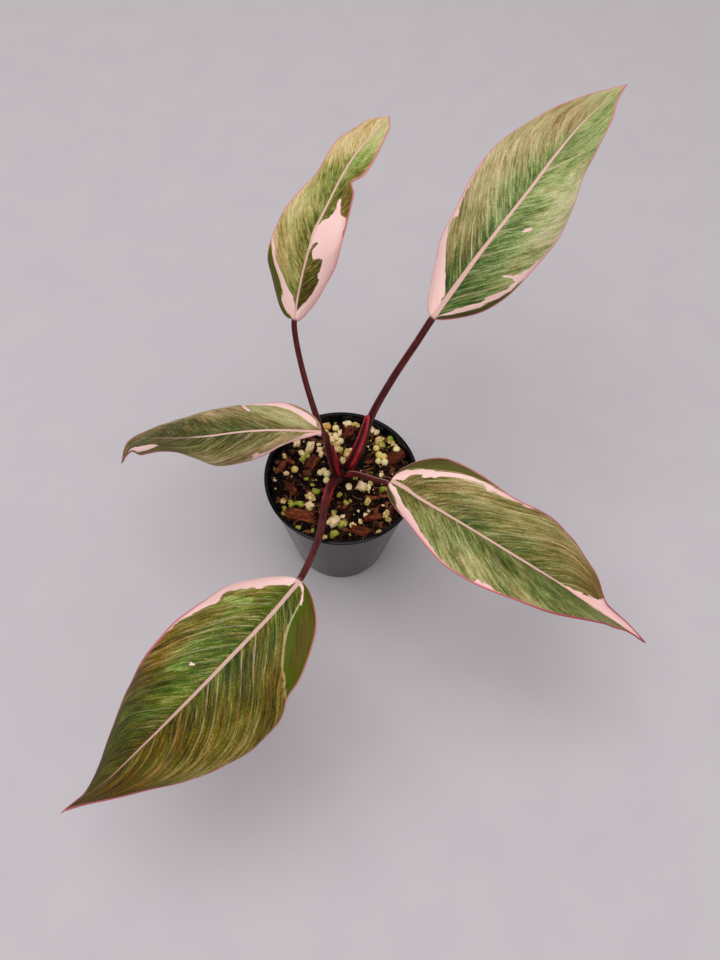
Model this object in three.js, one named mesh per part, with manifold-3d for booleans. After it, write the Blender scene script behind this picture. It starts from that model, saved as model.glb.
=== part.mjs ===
// A young pink princess philodendron in its round nursery pot: five marbled leaves on long
// stalks round a short crown, with a new leaf still rolled in its sheath, in bark and perlite mix.
// Millimetres, +Z up, origin at the middle of the pot's foot, +Y towards the tallest leaf.
import * as THREE from 'three';
import { mergeVertices } from 'three/addons/utils/BufferGeometryUtils.js';
import Module from 'manifold-3d';

const wasm = await Module();
wasm.setup();

// ---- driving dimensions ----

const GAP = 0.3; // between two pieces that touch

const POT = {
  rimRadius: 38, // a 3 inch nursery pot
  footRadius: 25,
  height: 67.8,
  wall: 0.9,
  floor: 1.2,
  lipWidth: 0.7, // how far the lip stands out from the wall
  lipHeight: 1.6,
  footHeight: 1.5, // the straight ring under the slanted wall
  footStep: 0.4,
  drainHoles: 6,
  drainRadius: 2.6,
  drainCircle: 16,
  drainSides: 12,
  round: 0.4, // at the edges of the foot and the rim
  segments: 48,
};

const SOIL = { level: 62.6, mound: 1.6, roughness: 0.5, rings: 7 };
// Loose grains on the mix. rise: of their middle above the mix, as a share of their radius.
const GRAIN = { rise: 0.25, ragged: 0.2, flatness: 0.75, lean: 0.6 };

const STEM = { radius: 3, topRadius: 2.1, foot: 48, top: 71.5, segments: 14 };

// Bark chips half sunk in the mix: [x, y, length, width, height, turn in degrees].
const CHIP_RISE = 0.1; // of the middle above the mix, as a share of the height
const BARK_CHIPS = [
  [-18.5, -22, 15, 5.5, 4, -8],
  [28, 16, 14, 6.5, 4, 40],
  [-15, 8.5, 9, 4.5, 3.5, 62],
  [-24.5, -7, 8, 3.5, 3.5, -48],
  [10.5, -28, 10, 3.8, 3, -14],
  [2.5, 28.5, 7, 4.5, 3.5, 80],
  [17, -20.5, 9, 3.2, 2.6, 12],
  [-30, 6, 6, 3, 2.6, 75],
];

// Clusters of round slow-release feed prills: [x, y, how many].
const PRILL_CLUSTERS = [
  [20.5, 13, 5],
  [-8.5, 29, 3],
  [-1.5, 22, 2],
  [-9.5, 3, 2],
  [-23.5, 3.5, 1],
  [2, 33, 1],
  [23.5, 25.5, 1],
  [27, 19, 1],
  [13.5, -4.5, 1],
  [-9, -6, 1],
];

const PRILL_RADIUS = 1.75;
const PERLITE = { count: 30, least: 1, most: 2.4, tries: 4000 };

// Along a blade, 0 at the stalk and 1 at the tip: where half widths, and side bends, are given.
const WIDTH_STATIONS = [0, 0.1, 0.2, 0.3, 0.4, 0.5, 0.6, 0.7, 0.8, 0.9, 1];
const BEND_STATIONS = [0, 0.4, 1];

const BLADE = {
  thickness: 0.7,
  rows: 31,
  rowCrowding: 1.2, // above 1, rows lie closer together at the base
  columns: 5, // from the midrib to each margin
  roundBase: 0.13, // share of the length over which the base rounds out
  backLength: 0.06, // share of the length over which the basal lobes reach back
  ribHalfWidth: 1.5,
  ribNarrowing: 0.7, // share lost towards the tip
  ribDepth: 1.5,
  ribThinning: 0.85,
  tipHalfWidth: 0.5,
  fullWave: 12, // half width from which the margin's wave has its whole height
};

// midrib: points from the stalk to the tip. left, right: half widths at the stations, seen from the
// stalk. lift: how far both halves rise beside the midrib, at the stalk and the tip. bendLeft,
// bendRight: how far each half arches down to its margin. roll: how far the whole section leans.
// back: reach of the basal lobes. wave: height in mm, waves per blade, and the start of each side.
// nick: a notch in the margin, as its side, its place along the blade, its depth and its reach.
const LEAVES = {
  1: {
    midrib: [[-23.5, 36, 138], [-18.5, 47.5, 160], [-12, 63, 176], [-2, 83, 186], [13, 107, 190]],
    left: [16, 17.5, 19.5, 18.5, 17, 13, 10.5, 10, 9.5, 7.5],
    right: [6.5, 10, 12, 13, 12.5, 11, 10, 10.5, 10, 7.5],
    lift: [10, 25],
    bendLeft: [100, 28, 28],
    bendRight: [105, 50, 0],
    roll: [-14, -2, 5],
    back: 6.5,
    wave: [1, 4, 0.28, 0.79],
    nick: [1, 0.616, 3, 0.026],
  },
  2: {
    midrib: [[37, 40, 140], [54, 57, 161], [71.5, 78, 177], [91.5, 107, 186], [120, 143, 188]],
    left: [14.5, 18, 23, 24.5, 25.5, 24, 21, 16, 10, 6],
    right: [7.5, 17.5, 24, 26, 27, 23.5, 17.5, 14, 10.5, 4.5],
    lift: [13, 24],
    bendLeft: [87, 53, 5],
    bendRight: [62, 87, 4],
    roll: [-7, -7, 6],
    back: 3,
    wave: [1.1, 3.3, 0.6, 0.55],
  },
  3: {
    midrib: [
      [-9, -5.5, 112], [-31, -9.5, 118], [-54, -8, 112], [-84, 0.5, 92], [-104.5, 8, 70],
      [-113, 6.5, 56],
    ],
    left: [2, 7, 14.5, 18, 20, 14.5, 9, 7, 7.5, 2],
    right: [14, 16.5, 17.5, 18, 17, 16.5, 14, 10, 6, 5],
    lift: [8, 8],
    bendLeft: [105, 108, 65],
    bendRight: [50, 70, 4],
    roll: [16, 16, 13],
    back: 3,
    wave: [1.5, 2.55, 0.06, 0.19],
  },
  4: {
    midrib: [
      [-13.5, -74, 108], [-31.5, -102.5, 112], [-50.5, -124, 104], [-73.5, -142, 84],
      [-105, -158, 51],
    ],
    left: [14.5, 21, 27, 33, 34, 29.5, 22, 13.5, 8, 3.5],
    right: [21.5, 27.5, 28, 28, 27, 27, 25.5, 18, 9, 0.5],
    lift: [23, 5],
    bendLeft: [35, 78, 29],
    bendRight: [76, 51, 50],
    roll: [-18, 7, -10],
    back: 1,
    wave: [1.5, 3, 0.79, 0.04],
    nick: [-1, 0.26, 2.6, 0.036],
  },
  5: {
    midrib: [
      [22.5, -21, 98], [50.5, -40.5, 104], [78, -54.5, 98], [108.5, -64, 82], [143.5, -73.5, 57.5],
    ],
    left: [20.5, 22.5, 23, 24, 23.5, 23.5, 22.5, 14.5, 4, 3],
    right: [10, 12.5, 18, 23.5, 26.5, 24, 20, 16, 9.5, 2.5],
    lift: [30, 34],
    bendLeft: [35, 26, 5],
    bendRight: [112, 46, 0],
    roll: [-6, 9, 12],
    back: 4,
    wave: [1.5, 3.35, 0.65, 0.8],
  },
};

// Each stalk runs from the crown through its points to the blade's base. radius: at the crown, half
// way and at the blade. winged: share of its length along which two keels sheathe the crown.
// spur: the pointed free end of a wing, as its path and its radii.
const STALKS = {
  1: {
    path: [[-2.2, 3, 69], [-6.5, 6.5, 80], [-13, 13.5, 98], [-19, 24, 113.5], [-22.8, 32.2, 128]],
    radius: [2.1, 1.4, 1.25],
    winged: 0.3,
  },
  2: {
    path: [[3.4, 3, 68], [8.3, 7.8, 78], [12.8, 16.5, 95], [21.3, 26, 112], [31.5, 35, 129.5]],
    radius: [2.3, 1.75, 1.6],
    winged: 0.2,
  },
  3: {
    path: [[-2.6, -0.4, 70], [-4.6, -1.2, 84], [-6.6, -3, 98]],
    radius: [2.4, 1.9, 1.25],
    winged: 0.7,
    spur: { path: [[-1.9, -0.9, 76], [-3.1, 0.3, 85], [-4.4, 2.4, 91]], radius: [1.1, 0.9, 0.3] },
  },
  4: {
    path: [[-0.9, -3.4, 69.5], [-4.6, -9.5, 72], [-6.2, -22, 79], [-7.2, -46, 91.5]],
    radius: [2.2, 1.8, 1.4],
    winged: 0.25,
  },
  5: {
    path: [[3.3, -1, 69.5], [6.2, -3.4, 75], [11, -9.2, 83.5], [16.7, -15.8, 91.5]],
    radius: [1.9, 1.3, 1.25],
    winged: 0.35,
  },
};

const STALK_STATIONS = [0, 0.5, 1]; // where the radii are given
const STALK_SIDES = 10;
const STALK_STEPS = 15;
const SPUR_SIDES = 8;
const SPUR_STEPS = 5;
const KEEL_HEIGHT = 0.38; // of the stalk's radius
const KEEL_ANGLE = 58; // to each side of the face that is turned to the crown
const KEEL_SPREAD = 20;
const STALK_ELBOW = 1.8; // over this length a stalk turns into its blade's direction
const INNER_LEAN = 0.8; // how far the face turned to the crown leans inwards, against upwards

// The sheath of the next leaf, which leans on stalk 2.
const BUD = {
  path: [[2.2, 3.6, 68.5], [5, 4.2, 75], [8.9, 8.7, 86.8], [11.4, 15.1, 98.6]],
  radius: [1.7, 2.1, 1.75, 1.1],
  stations: [0, 0.3, 0.7, 1],
  sides: 10,
  steps: 12,
};

// ---- curves and numbers ----

/** A seeded stream of numbers from 0 to 1. */
function randomStream(seed) {
  let state = seed;
  return () => {
    state = (state + 0x6d2b79f5) | 0;
    let mixed = Math.imul(state ^ (state >>> 15), 1 | state);
    mixed = (mixed + Math.imul(mixed ^ (mixed >>> 7), 61 | mixed)) ^ mixed;
    return ((mixed ^ (mixed >>> 14)) >>> 0) / 4294967296;
  };
}

/** The smooth curve through values at stations, with no overshoot between them. */
function smoothAt(stations, values, x) {
  const last = stations.length - 1;
  const steps = stations.slice(1).map((station, i) => station - stations[i]);
  const slopes = steps.map((step, i) => (values[i + 1] - values[i]) / step);
  const tangents = stations.map((_, i) => {
    if (i === 0) return slopes[0];
    if (i === last) return slopes[last - 1];
    if (slopes[i - 1] * slopes[i] <= 0) return 0;
    const before = 2 * steps[i] + steps[i - 1];
    const after = steps[i] + 2 * steps[i - 1];
    return (before + after) / (before / slopes[i - 1] + after / slopes[i]);
  });
  let i = 0;
  while (i < last - 1 && x >= stations[i + 1]) i += 1;
  const s = (x - stations[i]) / steps[i];
  return (1 + 2 * s) * (1 - s) ** 2 * values[i] + s * (1 - s) ** 2 * steps[i] * tangents[i]
    + s * s * (3 - 2 * s) * values[i + 1] + s * s * (s - 1) * steps[i] * tangents[i + 1];
}

/** Shortens a value by a round dent of the given depth and reach. */
function dented(value, offset, depth, reach) {
  return value - depth * Math.exp(-((offset / reach) ** 2));
}

function curveThrough(points) {
  const curve = new THREE.CatmullRomCurve3(points.map((point) => new THREE.Vector3(...point)));
  curve.arcLengthDivisions = 400; // fine enough for even steps along it
  return curve;
}

/** a + b * s, as a new vector. */
function along(a, b, s) {
  return a.clone().addScaledVector(b, s);
}

// ---- closed bodies ----

function geometryFrom(vertices, triangles) {
  const places = vertices.flatMap((vertex) => vertex.toArray());
  const geometry = new THREE.BufferGeometry();
  geometry.setAttribute('position', new THREE.Float32BufferAttribute(places, 3));
  geometry.setIndex(triangles.flat());
  return geometry;
}

/** A body through rings of equal count, which turn anticlockwise about the way they advance. */
function loft(rings) {
  const count = rings[0].length;
  const vertices = rings.flat();
  const triangles = [];
  for (let i = 0; i < rings.length - 1; i += 1) {
    for (let k = 0; k < count; k += 1) {
      const next = (k + 1) % count;
      const [a, b] = [i * count + k, i * count + next];
      triangles.push([a, b, b + count], [a, b + count, a + count]);
    }
  }
  const ends = [[rings[0], 0, true], [rings[rings.length - 1], (rings.length - 1) * count, false]];
  for (const [ring, first, atStart] of ends) {
    const middle = ring.reduce((sum, point) => sum.add(point), new THREE.Vector3()).divideScalar(count);
    const centre = vertices.push(middle) - 1;
    for (let k = 0; k < count; k += 1) {
      const [a, b] = [first + k, first + ((k + 1) % count)];
      triangles.push(atStart ? [centre, b, a] : [centre, a, b]);
    }
  }
  return geometryFrom(vertices, triangles);
}

/** A sheet between two grids of rows, split into triangles alike on both faces. */
function slab(top, bottom) {
  const rows = top.length;
  const columns = top[0].length;
  const under = rows * columns;
  const at = (i, j) => i * columns + j;
  const triangles = [];
  for (let i = 0; i < rows - 1; i += 1) {
    for (let j = 0; j < columns - 1; j += 1) {
      const [a, b, c, d] = [at(i, j), at(i, j + 1), at(i + 1, j + 1), at(i + 1, j)];
      triangles.push([a, b, c], [a, c, d]);
      triangles.push([under + a, under + c, under + b], [under + a, under + d, under + c]);
    }
  }
  const border = [];
  for (let j = 0; j < columns - 1; j += 1) border.push(at(0, j));
  for (let i = 0; i < rows - 1; i += 1) border.push(at(i, columns - 1));
  for (let j = columns - 1; j > 0; j -= 1) border.push(at(rows - 1, j));
  for (let i = rows - 1; i > 0; i -= 1) border.push(at(i, 0));
  border.forEach((a, i) => {
    const b = border[(i + 1) % border.length];
    triangles.push([b, a, under + a], [b, under + a, under + b]);
  });
  return geometryFrom([...top.flat(), ...bottom.flat()], triangles);
}

/** The manifold solid of a closed geometry. */
function solidOf(geometry) {
  const bare = geometry.clone();
  bare.deleteAttribute('normal');
  bare.deleteAttribute('uv');
  const merged = mergeVertices(bare, 1e-4);
  const corners = Array.from(merged.index.array);
  const triVerts = [];
  for (let i = 0; i < corners.length; i += 3) {
    const [a, b, c] = corners.slice(i, i + 3);
    if (a !== b && b !== c && c !== a) triVerts.push(a, b, c);
  }
  return new wasm.Manifold(new wasm.Mesh({
    numProp: 3,
    vertProperties: new Float32Array(merged.attributes.position.array),
    triVerts: new Uint32Array(triVerts),
  }));
}

/** The geometry of a solid's largest body; scraps that a cut leaves loose are dropped. */
function geometryOf(solid) {
  const bodies = solid.decompose().sort((a, b) => b.volume() - a.volume());
  const mesh = bodies[0].getMesh();
  const geometry = new THREE.BufferGeometry();
  geometry.setAttribute('position', new THREE.Float32BufferAttribute(mesh.vertProperties, 3));
  geometry.setIndex(Array.from(mesh.triVerts));
  return geometry;
}

/** A ring of the given radius at a height, for a body turned about Z. */
function circle(radius, z, segments) {
  return Array.from({ length: segments }, (_, k) => {
    const angle = (2 * Math.PI * k) / segments;
    return new THREE.Vector3(radius * Math.cos(angle), radius * Math.sin(angle), z);
  });
}

// ---- pot ----

/** The wall's outer radius at a height above the foot ring. */
function wallRadius(z) {
  const share = (z - POT.footHeight) / (POT.height - POT.footHeight);
  const foot = POT.footRadius + POT.footStep;
  return foot + share * (POT.rimRadius - POT.lipWidth - foot);
}

function potSolid() {
  const { footRadius, footHeight, rimRadius, height, wall, floor, round } = POT;
  const lipFoot = height - POT.lipHeight;
  const insideFoot = wallRadius(floor + 2 * round) - wall;
  const outside = [
    [footRadius - round, 0],
    [footRadius, round],
    [footRadius, footHeight - 0.5 * round],
    [wallRadius(footHeight), footHeight + 0.5 * round],
    [wallRadius(lipFoot), lipFoot],
    [rimRadius - 0.5 * round, lipFoot + 0.5 * round],
    [rimRadius, lipFoot + 1.5 * round],
    [rimRadius, height - round],
    [rimRadius - round, height],
  ];
  const inside = [
    [wallRadius(height) - wall + round, height],
    [wallRadius(height) - wall, height - round],
    [insideFoot, floor + 2 * round],
    [insideFoot - 2 * round, floor],
  ];
  const rings = [...outside, ...inside].map(([radius, z]) => circle(radius, z, POT.segments));
  return solidOf(loft(rings));
}

function pot() {
  const { drainRadius, drainCircle, drainHoles, drainSides, floor } = POT;
  const hole = new THREE.CylinderGeometry(drainRadius, drainRadius, 4 * floor, drainSides);
  hole.rotateX(Math.PI / 2);
  let body = potSolid();
  for (let k = 0; k < drainHoles; k += 1) {
    const angle = ((k + 0.5) * 2 * Math.PI) / drainHoles;
    const placed = hole.clone();
    placed.translate(drainCircle * Math.cos(angle), drainCircle * Math.sin(angle), 0);
    body = body.subtract(solidOf(placed));
  }
  return geometryOf(body);
}

// ---- stem ----

function stemSolid(clearance) {
  const { radius, topRadius, foot, top, segments } = STEM;
  const profile = [
    [radius - 0.8, foot - clearance],
    [radius, foot + 1],
    [radius, foot + 0.45 * (top - foot)],
    [0.5 * (radius + topRadius), foot + 0.8 * (top - foot)],
    [topRadius, top - 1],
    [0.5 * topRadius, top + clearance],
  ];
  return solidOf(loft(profile.map(([r, z]) => circle(r + clearance, z, segments))));
}

// ---- soil ----

/** Height of the mix: a low mound at the crown, with a fine rolling surface. */
function soilHeight(x, y) {
  const { level, mound, roughness } = SOIL;
  const share = Math.min(1, Math.hypot(x, y) / wallRadius(level));
  const hills = Math.sin(0.31 * x + 1) * Math.cos(0.27 * y - 0.4);
  const rolling = hills + 0.6 * Math.sin(0.53 * y + 0.38 * x);
  return level + mound * (1 - share * share) + roughness * rolling * (1 - share ** 4);
}

/** How far from the axis the mix reaches at a height. */
function soilReach(z) {
  return wallRadius(z) - POT.wall - GAP;
}

/** Rings that fill the pot from its floor up to a height. */
function soilSides(top) {
  const foot = POT.floor + GAP;
  return [
    circle(soilReach(foot + 1) - 1, foot, POT.segments),
    circle(soilReach(foot + 1), foot + 1, POT.segments),
    circle(soilReach(top), top, POT.segments),
  ];
}

function soilBody() {
  const { level, rings } = SOIL;
  const layers = soilSides(level);
  for (let i = rings - 1; i > 0; i -= 1) {
    const ring = circle((soilReach(level) * i) / rings, 0, POT.segments);
    layers.push(ring.map((point) => point.setZ(soilHeight(point.x, point.y))));
  }
  return solidOf(loft(layers));
}

/** A rough grain: a twenty-sided ball, stretched, with its corners shifted at random. */
function grain(random, radii, ragged, place, turn) {
  const sharp = new THREE.IcosahedronGeometry(1, 0);
  const ball = mergeVertices(sharp.deleteAttribute('normal').deleteAttribute('uv'));
  const corners = ball.attributes.position;
  for (let i = 0; i < corners.count; i += 1) {
    const scale = 1 + ragged * (2 * random() - 1);
    corners.setXYZ(i, corners.getX(i) * scale, corners.getY(i) * scale, corners.getZ(i) * scale);
  }
  ball.rotateX(random() * GRAIN.lean);
  ball.scale(...radii);
  ball.rotateZ(THREE.MathUtils.degToRad(turn));
  ball.translate(...place);
  return solidOf(ball);
}

function barkChip(random, [x, y, length, width, height, turn]) {
  const place = [x, y, soilHeight(x, y) + CHIP_RISE * height];
  return grain(random, [length / 2, width / 2, height / 2], GRAIN.ragged, place, turn);
}

/** The places of all feed prills, cluster by cluster. */
function prillPlaces() {
  return PRILL_CLUSTERS.flatMap(([cx, cy, count]) => Array.from({ length: count }, (_, k) => {
    const angle = (2 * Math.PI * k) / Math.max(count, 3) + cx;
    const spread = count > 1 ? 1.25 * PRILL_RADIUS * Math.sqrt(count / 3) : 0;
    return { x: cx + spread * Math.cos(angle), y: cy + spread * Math.sin(angle) };
  }).map((place) => ({ ...place, radius: PRILL_RADIUS })));
}

/** Places for perlite, wherever there is room between the prills, the crown and the rim. */
function perlitePlaces(random, prills) {
  const laid = [];
  const farthest = wallRadius(SOIL.level) - POT.wall - PERLITE.most;
  const crownRoom = 2 * STEM.radius;
  for (let tries = 0; laid.length < PERLITE.count && tries < PERLITE.tries; tries += 1) {
    const angle = 2 * Math.PI * random();
    const distance = farthest * Math.sqrt(random());
    const radius = PERLITE.least + (PERLITE.most - PERLITE.least) * random() ** 2;
    const [x, y] = [distance * Math.cos(angle), distance * Math.sin(angle)];
    const room = (other) => Math.hypot(x - other.x, y - other.y) > radius + other.radius;
    if (distance > crownRoom + radius && distance < farthest - radius
      && [...prills, ...laid].every(room)) {
      laid.push({ x, y, radius });
    }
  }
  return laid;
}

function soil() {
  const random = randomStream(12);
  const prills = prillPlaces();
  let body = soilBody();
  for (const chip of BARK_CHIPS) {
    body = body.add(barkChip(random, chip));
  }
  for (const { x, y, radius } of prills) {
    const place = [x, y, soilHeight(x, y) + GRAIN.rise * radius];
    body = body.add(grain(random, [radius, radius, radius], 0, place, 360 * random()));
  }
  for (const { x, y, radius } of perlitePlaces(random, prills)) {
    const low = GRAIN.flatness * radius;
    const place = [x, y, soilHeight(x, y) + GRAIN.rise * radius];
    body = body.add(grain(random, [radius, low, low], GRAIN.ragged, place, 360 * random()));
  }
  const insidePot = solidOf(loft(soilSides(POT.height)));
  return geometryOf(body.intersect(insidePot).subtract(stemSolid(GAP)));
}

// ---- blades ----

/** The frame of a blade at a share t of its length: forward, to the right, and up off its face. */
function bladeFrame(leaf, curve, t) {
  const forward = curve.getTangentAt(t);
  const right = forward.clone().cross(new THREE.Vector3(0, 0, 1)).normalize();
  const up = right.clone().cross(forward);
  const lean = THREE.MathUtils.degToRad(smoothAt(BEND_STATIONS, leaf.roll, t));
  const rolledRight = right.clone().multiplyScalar(Math.cos(lean)).addScaledVector(up, Math.sin(lean));
  const rolledUp = up.clone().multiplyScalar(Math.cos(lean)).addScaledVector(right, -Math.sin(lean));
  return { origin: curve.getPointAt(t), forward, right: rolledRight, up: rolledUp };
}

function roundBase(t) {
  const short = Math.max(0, 1 - t / BLADE.roundBase);
  return Math.sqrt(1 - short ** 2);
}

function halfWidth(leaf, side, t) {
  const widths = [...(side < 0 ? leaf.left : leaf.right), 0];
  const least = BLADE.ribHalfWidth + (BLADE.tipHalfWidth - BLADE.ribHalfWidth) * t;
  let width = smoothAt(WIDTH_STATIONS, widths, t);
  if (leaf.nick && leaf.nick[0] === side) {
    const [, at, depth, reach] = leaf.nick;
    width = dented(width, t - at, depth, reach);
  }
  return Math.max(least, width * roundBase(t));
}

/** A point of the upper face, v = 0 at the midrib and 1 at the margin, with its upward normal. */
function bladePoint(leaf, frame, side, t, v) {
  const width = halfWidth(leaf, side, t);
  const lift = THREE.MathUtils.degToRad(smoothAt([0, 1], leaf.lift, t));
  const bends = side < 0 ? leaf.bendLeft : leaf.bendRight;
  const bend = THREE.MathUtils.degToRad(smoothAt(BEND_STATIONS, bends, t)) || 1e-3;
  const slope = lift - bend * v;
  const outward = (width * (Math.sin(lift) - Math.sin(slope))) / bend;
  const upward = (width * (Math.cos(slope) - Math.cos(lift))) / bend;
  const [height, waves, startLeft, startRight] = leaf.wave;
  const start = side < 0 ? startLeft : startRight;
  const swing = height * Math.min(1, width / BLADE.fullWave);
  const wave = swing * v * v * Math.sin(2 * Math.PI * (waves * t + start));
  const back = leaf.back * roundBase(t) * Math.exp(-t / BLADE.backLength) * v;
  const point = along(frame.origin, frame.right, side * outward);
  point.addScaledVector(frame.up, upward + wave).addScaledVector(frame.forward, -back);
  const normal = frame.up.clone().multiplyScalar(Math.cos(slope));
  normal.addScaledVector(frame.right, -side * Math.sin(slope));
  return { point, normal };
}

function ribHalfWidth(t) {
  return BLADE.ribHalfWidth * (1 - BLADE.ribNarrowing * t);
}

/** How far the underside lies below the upper face, a distance x beside the midrib. */
function bladeDepth(t, x) {
  const round = Math.max(0, 1 - (x / ribHalfWidth(t)) ** 2);
  return BLADE.thickness + BLADE.ribDepth * (1 - BLADE.ribThinning * t) * Math.sqrt(round);
}

function blade(leaf) {
  const curve = curveThrough(leaf.midrib);
  const top = [];
  const bottom = [];
  for (let i = 0; i <= BLADE.rows; i += 1) {
    const t = (i / BLADE.rows) ** BLADE.rowCrowding;
    const frame = bladeFrame(leaf, curve, t);
    const topRow = [];
    const bottomRow = [];
    for (let j = -BLADE.columns; j <= BLADE.columns; j += 1) {
      const side = j < 0 ? -1 : 1;
      const width = halfWidth(leaf, side, t);
      const ribShare = Math.min(1 / BLADE.columns, ribHalfWidth(t) / width);
      const step = Math.abs(j);
      const v = step === 0 ? 0 : ribShare + ((1 - ribShare) * (step - 1)) / (BLADE.columns - 1);
      const { point, normal } = bladePoint(leaf, frame, side, t, v);
      if (step === 0) normal.copy(frame.up);
      topRow.push(point);
      bottomRow.push(along(point, normal, -bladeDepth(t, v * width)));
    }
    top.push(topRow);
    bottom.push(bottomRow);
  }
  return slab(top, bottom);
}

// ---- stalks and bud ----

/** Rings along a curve; radiusAt(t, angle) has angle 0 on the side turned to the crown. */
function sweptRings(curve, steps, sides, radiusAt) {
  const rings = [];
  for (let i = 0; i <= steps; i += 1) {
    const t = i / steps;
    const centre = curve.getPointAt(t);
    const forward = curve.getTangentAt(t);
    const outward = new THREE.Vector3(centre.x, centre.y, 0).normalize();
    const inner = new THREE.Vector3(0, 0, 1).addScaledVector(outward, -INNER_LEAN);
    inner.addScaledVector(forward, -inner.dot(forward)).normalize();
    const across = forward.clone().cross(inner);
    rings.push(Array.from({ length: sides }, (_, k) => {
      const angle = (2 * Math.PI * k) / sides;
      const radius = radiusAt(t, angle);
      return along(along(centre, inner, radius * Math.cos(angle)), across, radius * Math.sin(angle));
    }));
  }
  return rings;
}

/** The swelling of two keels, one to each side of the inner face. */
function keels(angle) {
  const { radToDeg, euclideanModulo } = THREE.MathUtils;
  const degrees = Math.abs(euclideanModulo(radToDeg(angle) + 180, 360) - 180);
  return KEEL_HEIGHT * Math.exp(-(((degrees - KEEL_ANGLE) / KEEL_SPREAD) ** 2));
}

/** A stalk's solid, made thicker all round by a clearance. */
function stalkSolid(number, clearance) {
  const { path, radius, winged, spur } = STALKS[number];
  const leaf = LEAVES[number];
  const frame = bladeFrame(leaf, curveThrough(leaf.midrib), 0);
  const joint = along(frame.origin, frame.up, -0.5 * (BLADE.thickness + BLADE.ribDepth));
  const end = along(joint, frame.forward, -GAP);
  const elbow = along(joint, frame.forward, -STALK_ELBOW);
  const curve = curveThrough([...path, elbow.toArray(), end.toArray()]);
  const rings = sweptRings(curve, STALK_STEPS, STALK_SIDES, (t, angle) => {
    const wing = Math.max(0, 1 - t / winged);
    return smoothAt(STALK_STATIONS, radius, t) * (1 + wing * keels(angle)) + clearance;
  });
  const stalk = solidOf(loft(rings));
  return spur ? stalk.add(spurSolid(spur, clearance)) : stalk;
}

function spurSolid({ path, radius }, clearance) {
  const curve = curveThrough(path);
  const radiusAt = (t) => smoothAt(STALK_STATIONS, radius, t) + clearance;
  return solidOf(loft(sweptRings(curve, SPUR_STEPS, SPUR_SIDES, radiusAt)));
}

function budSolid(clearance) {
  const curve = curveThrough(BUD.path);
  const rings = sweptRings(curve, BUD.steps, BUD.sides, (t, angle) => {
    const size = smoothAt(BUD.stations, BUD.radius, t);
    return size * (1 + keels(angle) * (1 - t)) + clearance;
  });
  return solidOf(loft(rings));
}

// ---- assembly ----

const plant = new THREE.Group();

function addPiece(name, geometry, color, roughness) {
  const material = new THREE.MeshStandardMaterial({ color, roughness, metalness: 0 });
  const mesh = new THREE.Mesh(geometry, material);
  mesh.name = name;
  plant.add(mesh);
}

const COLOURS = {
  pot: 0x17181a,
  soil: 0x2b1a12,
  stem: 0x4a1420,
  stalk: 0x4e1a20,
  bud: 0x96143c,
  leaf: 0x5f7040,
};

addPiece('pot', pot(), COLOURS.pot, 0.35);
addPiece('soil', soil(), COLOURS.soil, 0.9);
addPiece('stem', geometryOf(stemSolid(0)), COLOURS.stem, 0.5);

// Round the crown every stalk is cut clear of the stem and of the stalks placed before it.
let placed = stemSolid(GAP);
for (const number of [2, 4, 3, 5, 1]) {
  addPiece(`stalk_${number}`, geometryOf(stalkSolid(number, 0).subtract(placed)), COLOURS.stalk, 0.4);
  placed = placed.add(stalkSolid(number, GAP));
}
addPiece('bud_sheath', geometryOf(budSolid(0).subtract(placed)), COLOURS.bud, 0.35);

for (const [number, leaf] of Object.entries(LEAVES)) {
  addPiece(`leaf_${number}`, blade(leaf), COLOURS.leaf, 0.4);
}

export default plant;
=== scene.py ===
"""The looks of a young pink princess philodendron in its nursery pot, built round its CAD frame.

Lengths are millimetres in the part's frame, and each mesh is turned to metres as it is made.
"""

import math

import bmesh
import bpy
import numpy as np
from mathutils import Matrix, Vector


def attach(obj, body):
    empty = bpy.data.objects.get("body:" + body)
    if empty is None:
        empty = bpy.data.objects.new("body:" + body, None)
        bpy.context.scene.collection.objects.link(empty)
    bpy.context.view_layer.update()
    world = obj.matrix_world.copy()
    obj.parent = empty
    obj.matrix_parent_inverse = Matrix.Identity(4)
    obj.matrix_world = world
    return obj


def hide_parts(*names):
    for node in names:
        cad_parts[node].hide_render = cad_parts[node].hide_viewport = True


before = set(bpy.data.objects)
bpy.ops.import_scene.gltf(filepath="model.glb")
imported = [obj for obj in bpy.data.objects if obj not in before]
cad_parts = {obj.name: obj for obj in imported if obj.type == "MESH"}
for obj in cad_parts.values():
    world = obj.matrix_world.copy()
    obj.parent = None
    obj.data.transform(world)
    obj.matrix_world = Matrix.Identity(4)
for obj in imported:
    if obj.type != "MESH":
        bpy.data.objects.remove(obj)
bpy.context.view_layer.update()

# ---- dimensions, as in the CAD source ----

GAP = 0.3

POT = dict(
    rim_radius=38, foot_radius=25, height=67.8, wall=0.9, floor=1.2, lip_width=0.7, lip_height=1.6,
    foot_height=1.5, foot_step=0.4, drain_holes=6, drain_radius=2.6, drain_circle=16,
)
SOIL = dict(level=62.6, mound=1.6, roughness=0.5)
STEM = dict(
    foot=48, top=71.5, stations=[0, 0.06, 0.45, 0.8, 0.92, 0.98, 1],
    radii=[2.2, 3, 3, 2.55, 2.1, 1.1, 0.2],
)

WIDTH_STATIONS = [0, 0.1, 0.2, 0.3, 0.4, 0.5, 0.6, 0.7, 0.8, 0.9, 1]
BEND_STATIONS = [0, 0.4, 1]
BLADE = dict(
    thickness=0.7, round_base=0.13, back_length=0.06, rib_half_width=1.5, rib_depth=1.5,
    tip_half_width=0.5,
)

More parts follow.
